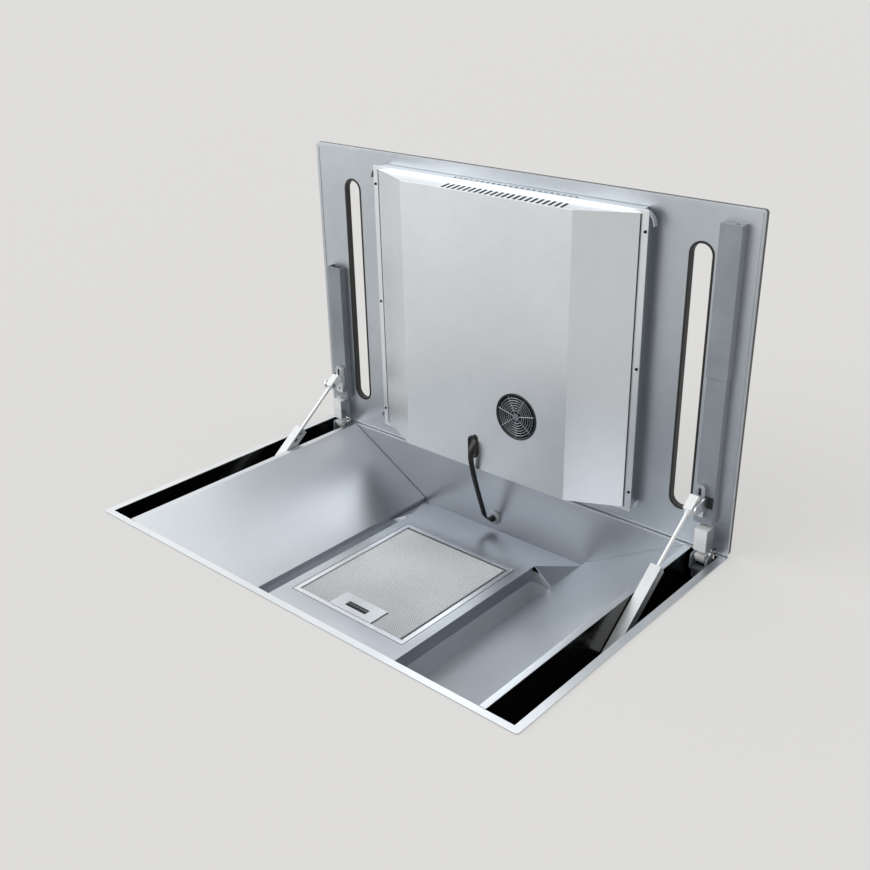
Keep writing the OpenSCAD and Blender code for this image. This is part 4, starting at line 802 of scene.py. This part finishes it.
def meshCells(look, low, high, top):
    # One frame of strands round a diamond opening, repeated in two rows that interlock
    wide, deep = look["cell"]
    bpy.ops.mesh.primitive_circle_add(vertices=4, radius=0.5, fill_type="NOTHING")
    mesh = bpy.context.object
    bpy.ops.object.mode_set(mode="EDIT")
    bpy.ops.mesh.select_mode(type="EDGE")
    bpy.ops.mesh.select_all(action="SELECT")
    bpy.ops.mesh.extrude_edges_move(TRANSFORM_OT_translate={"value": (0, 0, -look["dish"])})
    bpy.ops.transform.resize(value=(look["open"], look["open"], 1))
    bpy.ops.mesh.select_all(action="SELECT")
    bpy.ops.transform.resize(value=(wide, deep, 1))
    bpy.ops.transform.translate(value=(low.x + wide / 2, low.y + deep / 2, top))
    bpy.ops.mesh.normals_make_consistent(inside=False)
    bpy.ops.object.mode_set(mode="OBJECT")
    cols = int((high.x - low.x) / wide)
    rows = int((high.y - low.y) / deep)
    bpy.ops.object.duplicate()
    between = bpy.context.object
    bpy.ops.object.mode_set(mode="EDIT")
    bpy.ops.mesh.select_all(action="SELECT")
    bpy.ops.transform.translate(value=(wide / 2, deep / 2, 0))
    bpy.ops.object.mode_set(mode="OBJECT")
    for part, across, along in ((mesh, cols, rows), (between, cols - 1, rows - 1)):
        for count, step in ((across, (wide, 0, 0)), (along, (0, deep, 0))):
            applyModifier(part, "ARRAY", {
                "use_relative_offset": False, "use_constant_offset": True,
                "constant_offset_displace": step, "count": count})
    joinOnto(mesh, between)
    bpy.ops.object.mode_set(mode="EDIT")
    bpy.ops.mesh.select_all(action="SELECT")
    bpy.ops.mesh.remove_doubles(threshold=look["merge"])
    bpy.ops.mesh.select_all(action="DESELECT")
    bpy.ops.mesh.select_mode(type="FACE")
    bpy.ops.object.mode_set(mode="OBJECT")
    return mesh


def makeFilterMesh(look):
    low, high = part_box("filter_mesh")
    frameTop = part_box("filter_frame")[1].z
    plateLow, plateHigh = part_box("latch_plate")
    mesh = meshCells(look, low, high, frameTop - look["under"])
    margin = look["margin"]
    for face in mesh.data.polygons:  # the latch plate's corner stays free of mesh
        c = face.center
        face.select = (plateLow.x - margin < c.x < plateHigh.x + margin
                       and c.y < plateHigh.y + margin)
    bpy.ops.object.mode_set(mode="EDIT")
    bpy.ops.mesh.delete(type="FACE")
    bpy.ops.object.mode_set(mode="OBJECT")
    mesh.data.materials.append(finishes["meshAluminium"])
    applyPlace(mesh)
    # The inner layers lie behind the mesh, round the latch plate
    top = frameTop - look["under"] - look["layer"]
    layers = []
    for x0, y0, x1, y1 in ((low.x, plateHigh.y, high.x, high.y),
                           (low.x, low.y, plateLow.x, plateHigh.y),
                           (plateHigh.x, low.y, high.x, plateHigh.y)):
        layer = block((1000 * x0, 1000 * y0, 1000 * (top - look["layerDeep"])),
                      (1000 * x1, 1000 * y1, 1000 * top))
        layer.data.materials.append(finishes["meshShade"])
        layers.append(layer)
    joinOnto(mesh, *layers)
    keepPiece(mesh, "filterMesh", None, "grease_filter",
              ["filter_mesh"])


makeFilterMesh(meshLook)
print("filter mesh made")

# Floor at the height of the rim, open where the body hangs through it
floorLook = {"reach": 40.0, "half": (0.408, 0.2545), "height": -0.0002,
             "colour": "#dddcda", "rough": 0.9, "seen": "#dbdad8", "even": 0.6}


def seenRays(tree):
    path = addNode(tree, "ShaderNodeLightPath")
    direct = addNode(tree, "ShaderNodeMath", {"operation": "MAXIMUM"},
                     {0: path.outputs["Is Camera Ray"], 1: path.outputs["Is Glossy Ray"]})
    return addNode(tree, "ShaderNodeMath", {"operation": "MAXIMUM"},
                   {0: direct.outputs[0], 1: path.outputs["Is Transmission Ray"]})


def makeFloor(look):
    bpy.ops.mesh.primitive_plane_add(size=2, location=(0, 0, look["height"]))
    floor = bpy.context.object
    floor.name = "floor"
    bpy.ops.object.mode_set(mode="EDIT")
    bpy.ops.transform.resize(value=(look["half"][0], look["half"][1], 1))
    bpy.ops.mesh.select_mode(type="EDGE")
    bpy.ops.mesh.extrude_edges_move()
    bpy.ops.transform.resize(value=(look["reach"] / look["half"][0],
                                    look["reach"] / look["half"][1], 1))
    bpy.ops.object.mode_set(mode="OBJECT")
    for face in floor.data.polygons:
        face.select = all(abs(floor.data.vertices[i].co.x) < 1 for i in face.vertices)
    bpy.ops.object.mode_set(mode="EDIT")
    bpy.ops.mesh.select_mode(type="FACE")
    bpy.ops.mesh.delete(type="ONLY_FACE")
    bpy.ops.object.mode_set(mode="OBJECT")
    # matt pale card
    material, tree, surface = startMaterial(
        "floorCard", {"Roughness": look["rough"], "Base Color": toLinear(look["colour"])})
    # An even pale tone is mixed in where it is seen, and the shadow stays
    seen = seenRays(tree)
    share = addNode(tree, "ShaderNodeMath", {"operation": "MULTIPLY", 1: look["even"]},
                    {0: seen.outputs[0]})
    glow = addNode(tree, "ShaderNodeEmission", {"Color": toLinear(look["seen"])})
    mix = addNode(tree, "ShaderNodeMixShader", None,
                  {0: share.outputs[0], 1: surface.outputs[0], 2: glow.outputs[0]})
    out = next(n for n in tree.nodes if n.bl_idname == "ShaderNodeOutputMaterial")
    tree.links.new(mix.outputs[0], out.inputs["Surface"])
    floor.data.materials.append(material)


makeFloor(floorLook)

# Lamps: the way to each, its spread in degrees and its strength
lampLook = {
    "key": ((-0.55, -0.15, 0.82), 100, 1.35),
    "fill": ((-0.70, -0.66, 0.28), 50, 1.15),
    "back": ((0.35, 0.60, 0.70), 70, 0.35),
}
worldLook = {"seen": "#dbdad8", "seenStrength": 1.0, "light": 0.5}


def lightStudio(lamps, world):
    for name, (way, spreadAngle, strength) in lamps.items():
        bpy.ops.object.light_add(type="SUN", location=(0, 0, 2))
        lamp = bpy.context.object
        lamp.name = name
        lamp.data.angle = math.radians(spreadAngle)
        lamp.data.energy = strength
        lamp.rotation_euler = (-Vector(way)).to_track_quat("-Z", "Y").to_euler()
    sky = bpy.context.scene.world or bpy.data.worlds.new("studio")
    bpy.context.scene.world = sky
    sky.use_nodes = True
    tree = sky.node_tree
    tree.nodes.clear()
    seen = seenRays(tree)
    plain = addNode(tree, "ShaderNodeBackground",
                    {"Color": [1, 1, 1, 1], "Strength": world["light"]})
    shown = addNode(tree, "ShaderNodeBackground",
                    {"Color": toLinear(world["seen"]), "Strength": world["seenStrength"]})
    mix = addNode(tree, "ShaderNodeMixShader", None,
                  {0: seen.outputs[0], 1: plain.outputs[0], 2: shown.outputs[0]})
    out = addNode(tree, "ShaderNodeOutputWorld")
    tree.links.new(mix.outputs[0], out.inputs["Surface"])


lightStudio(lampLook, worldLook)
bpy.context.scene.view_settings.view_transform = "Standard"
print("studio lit")
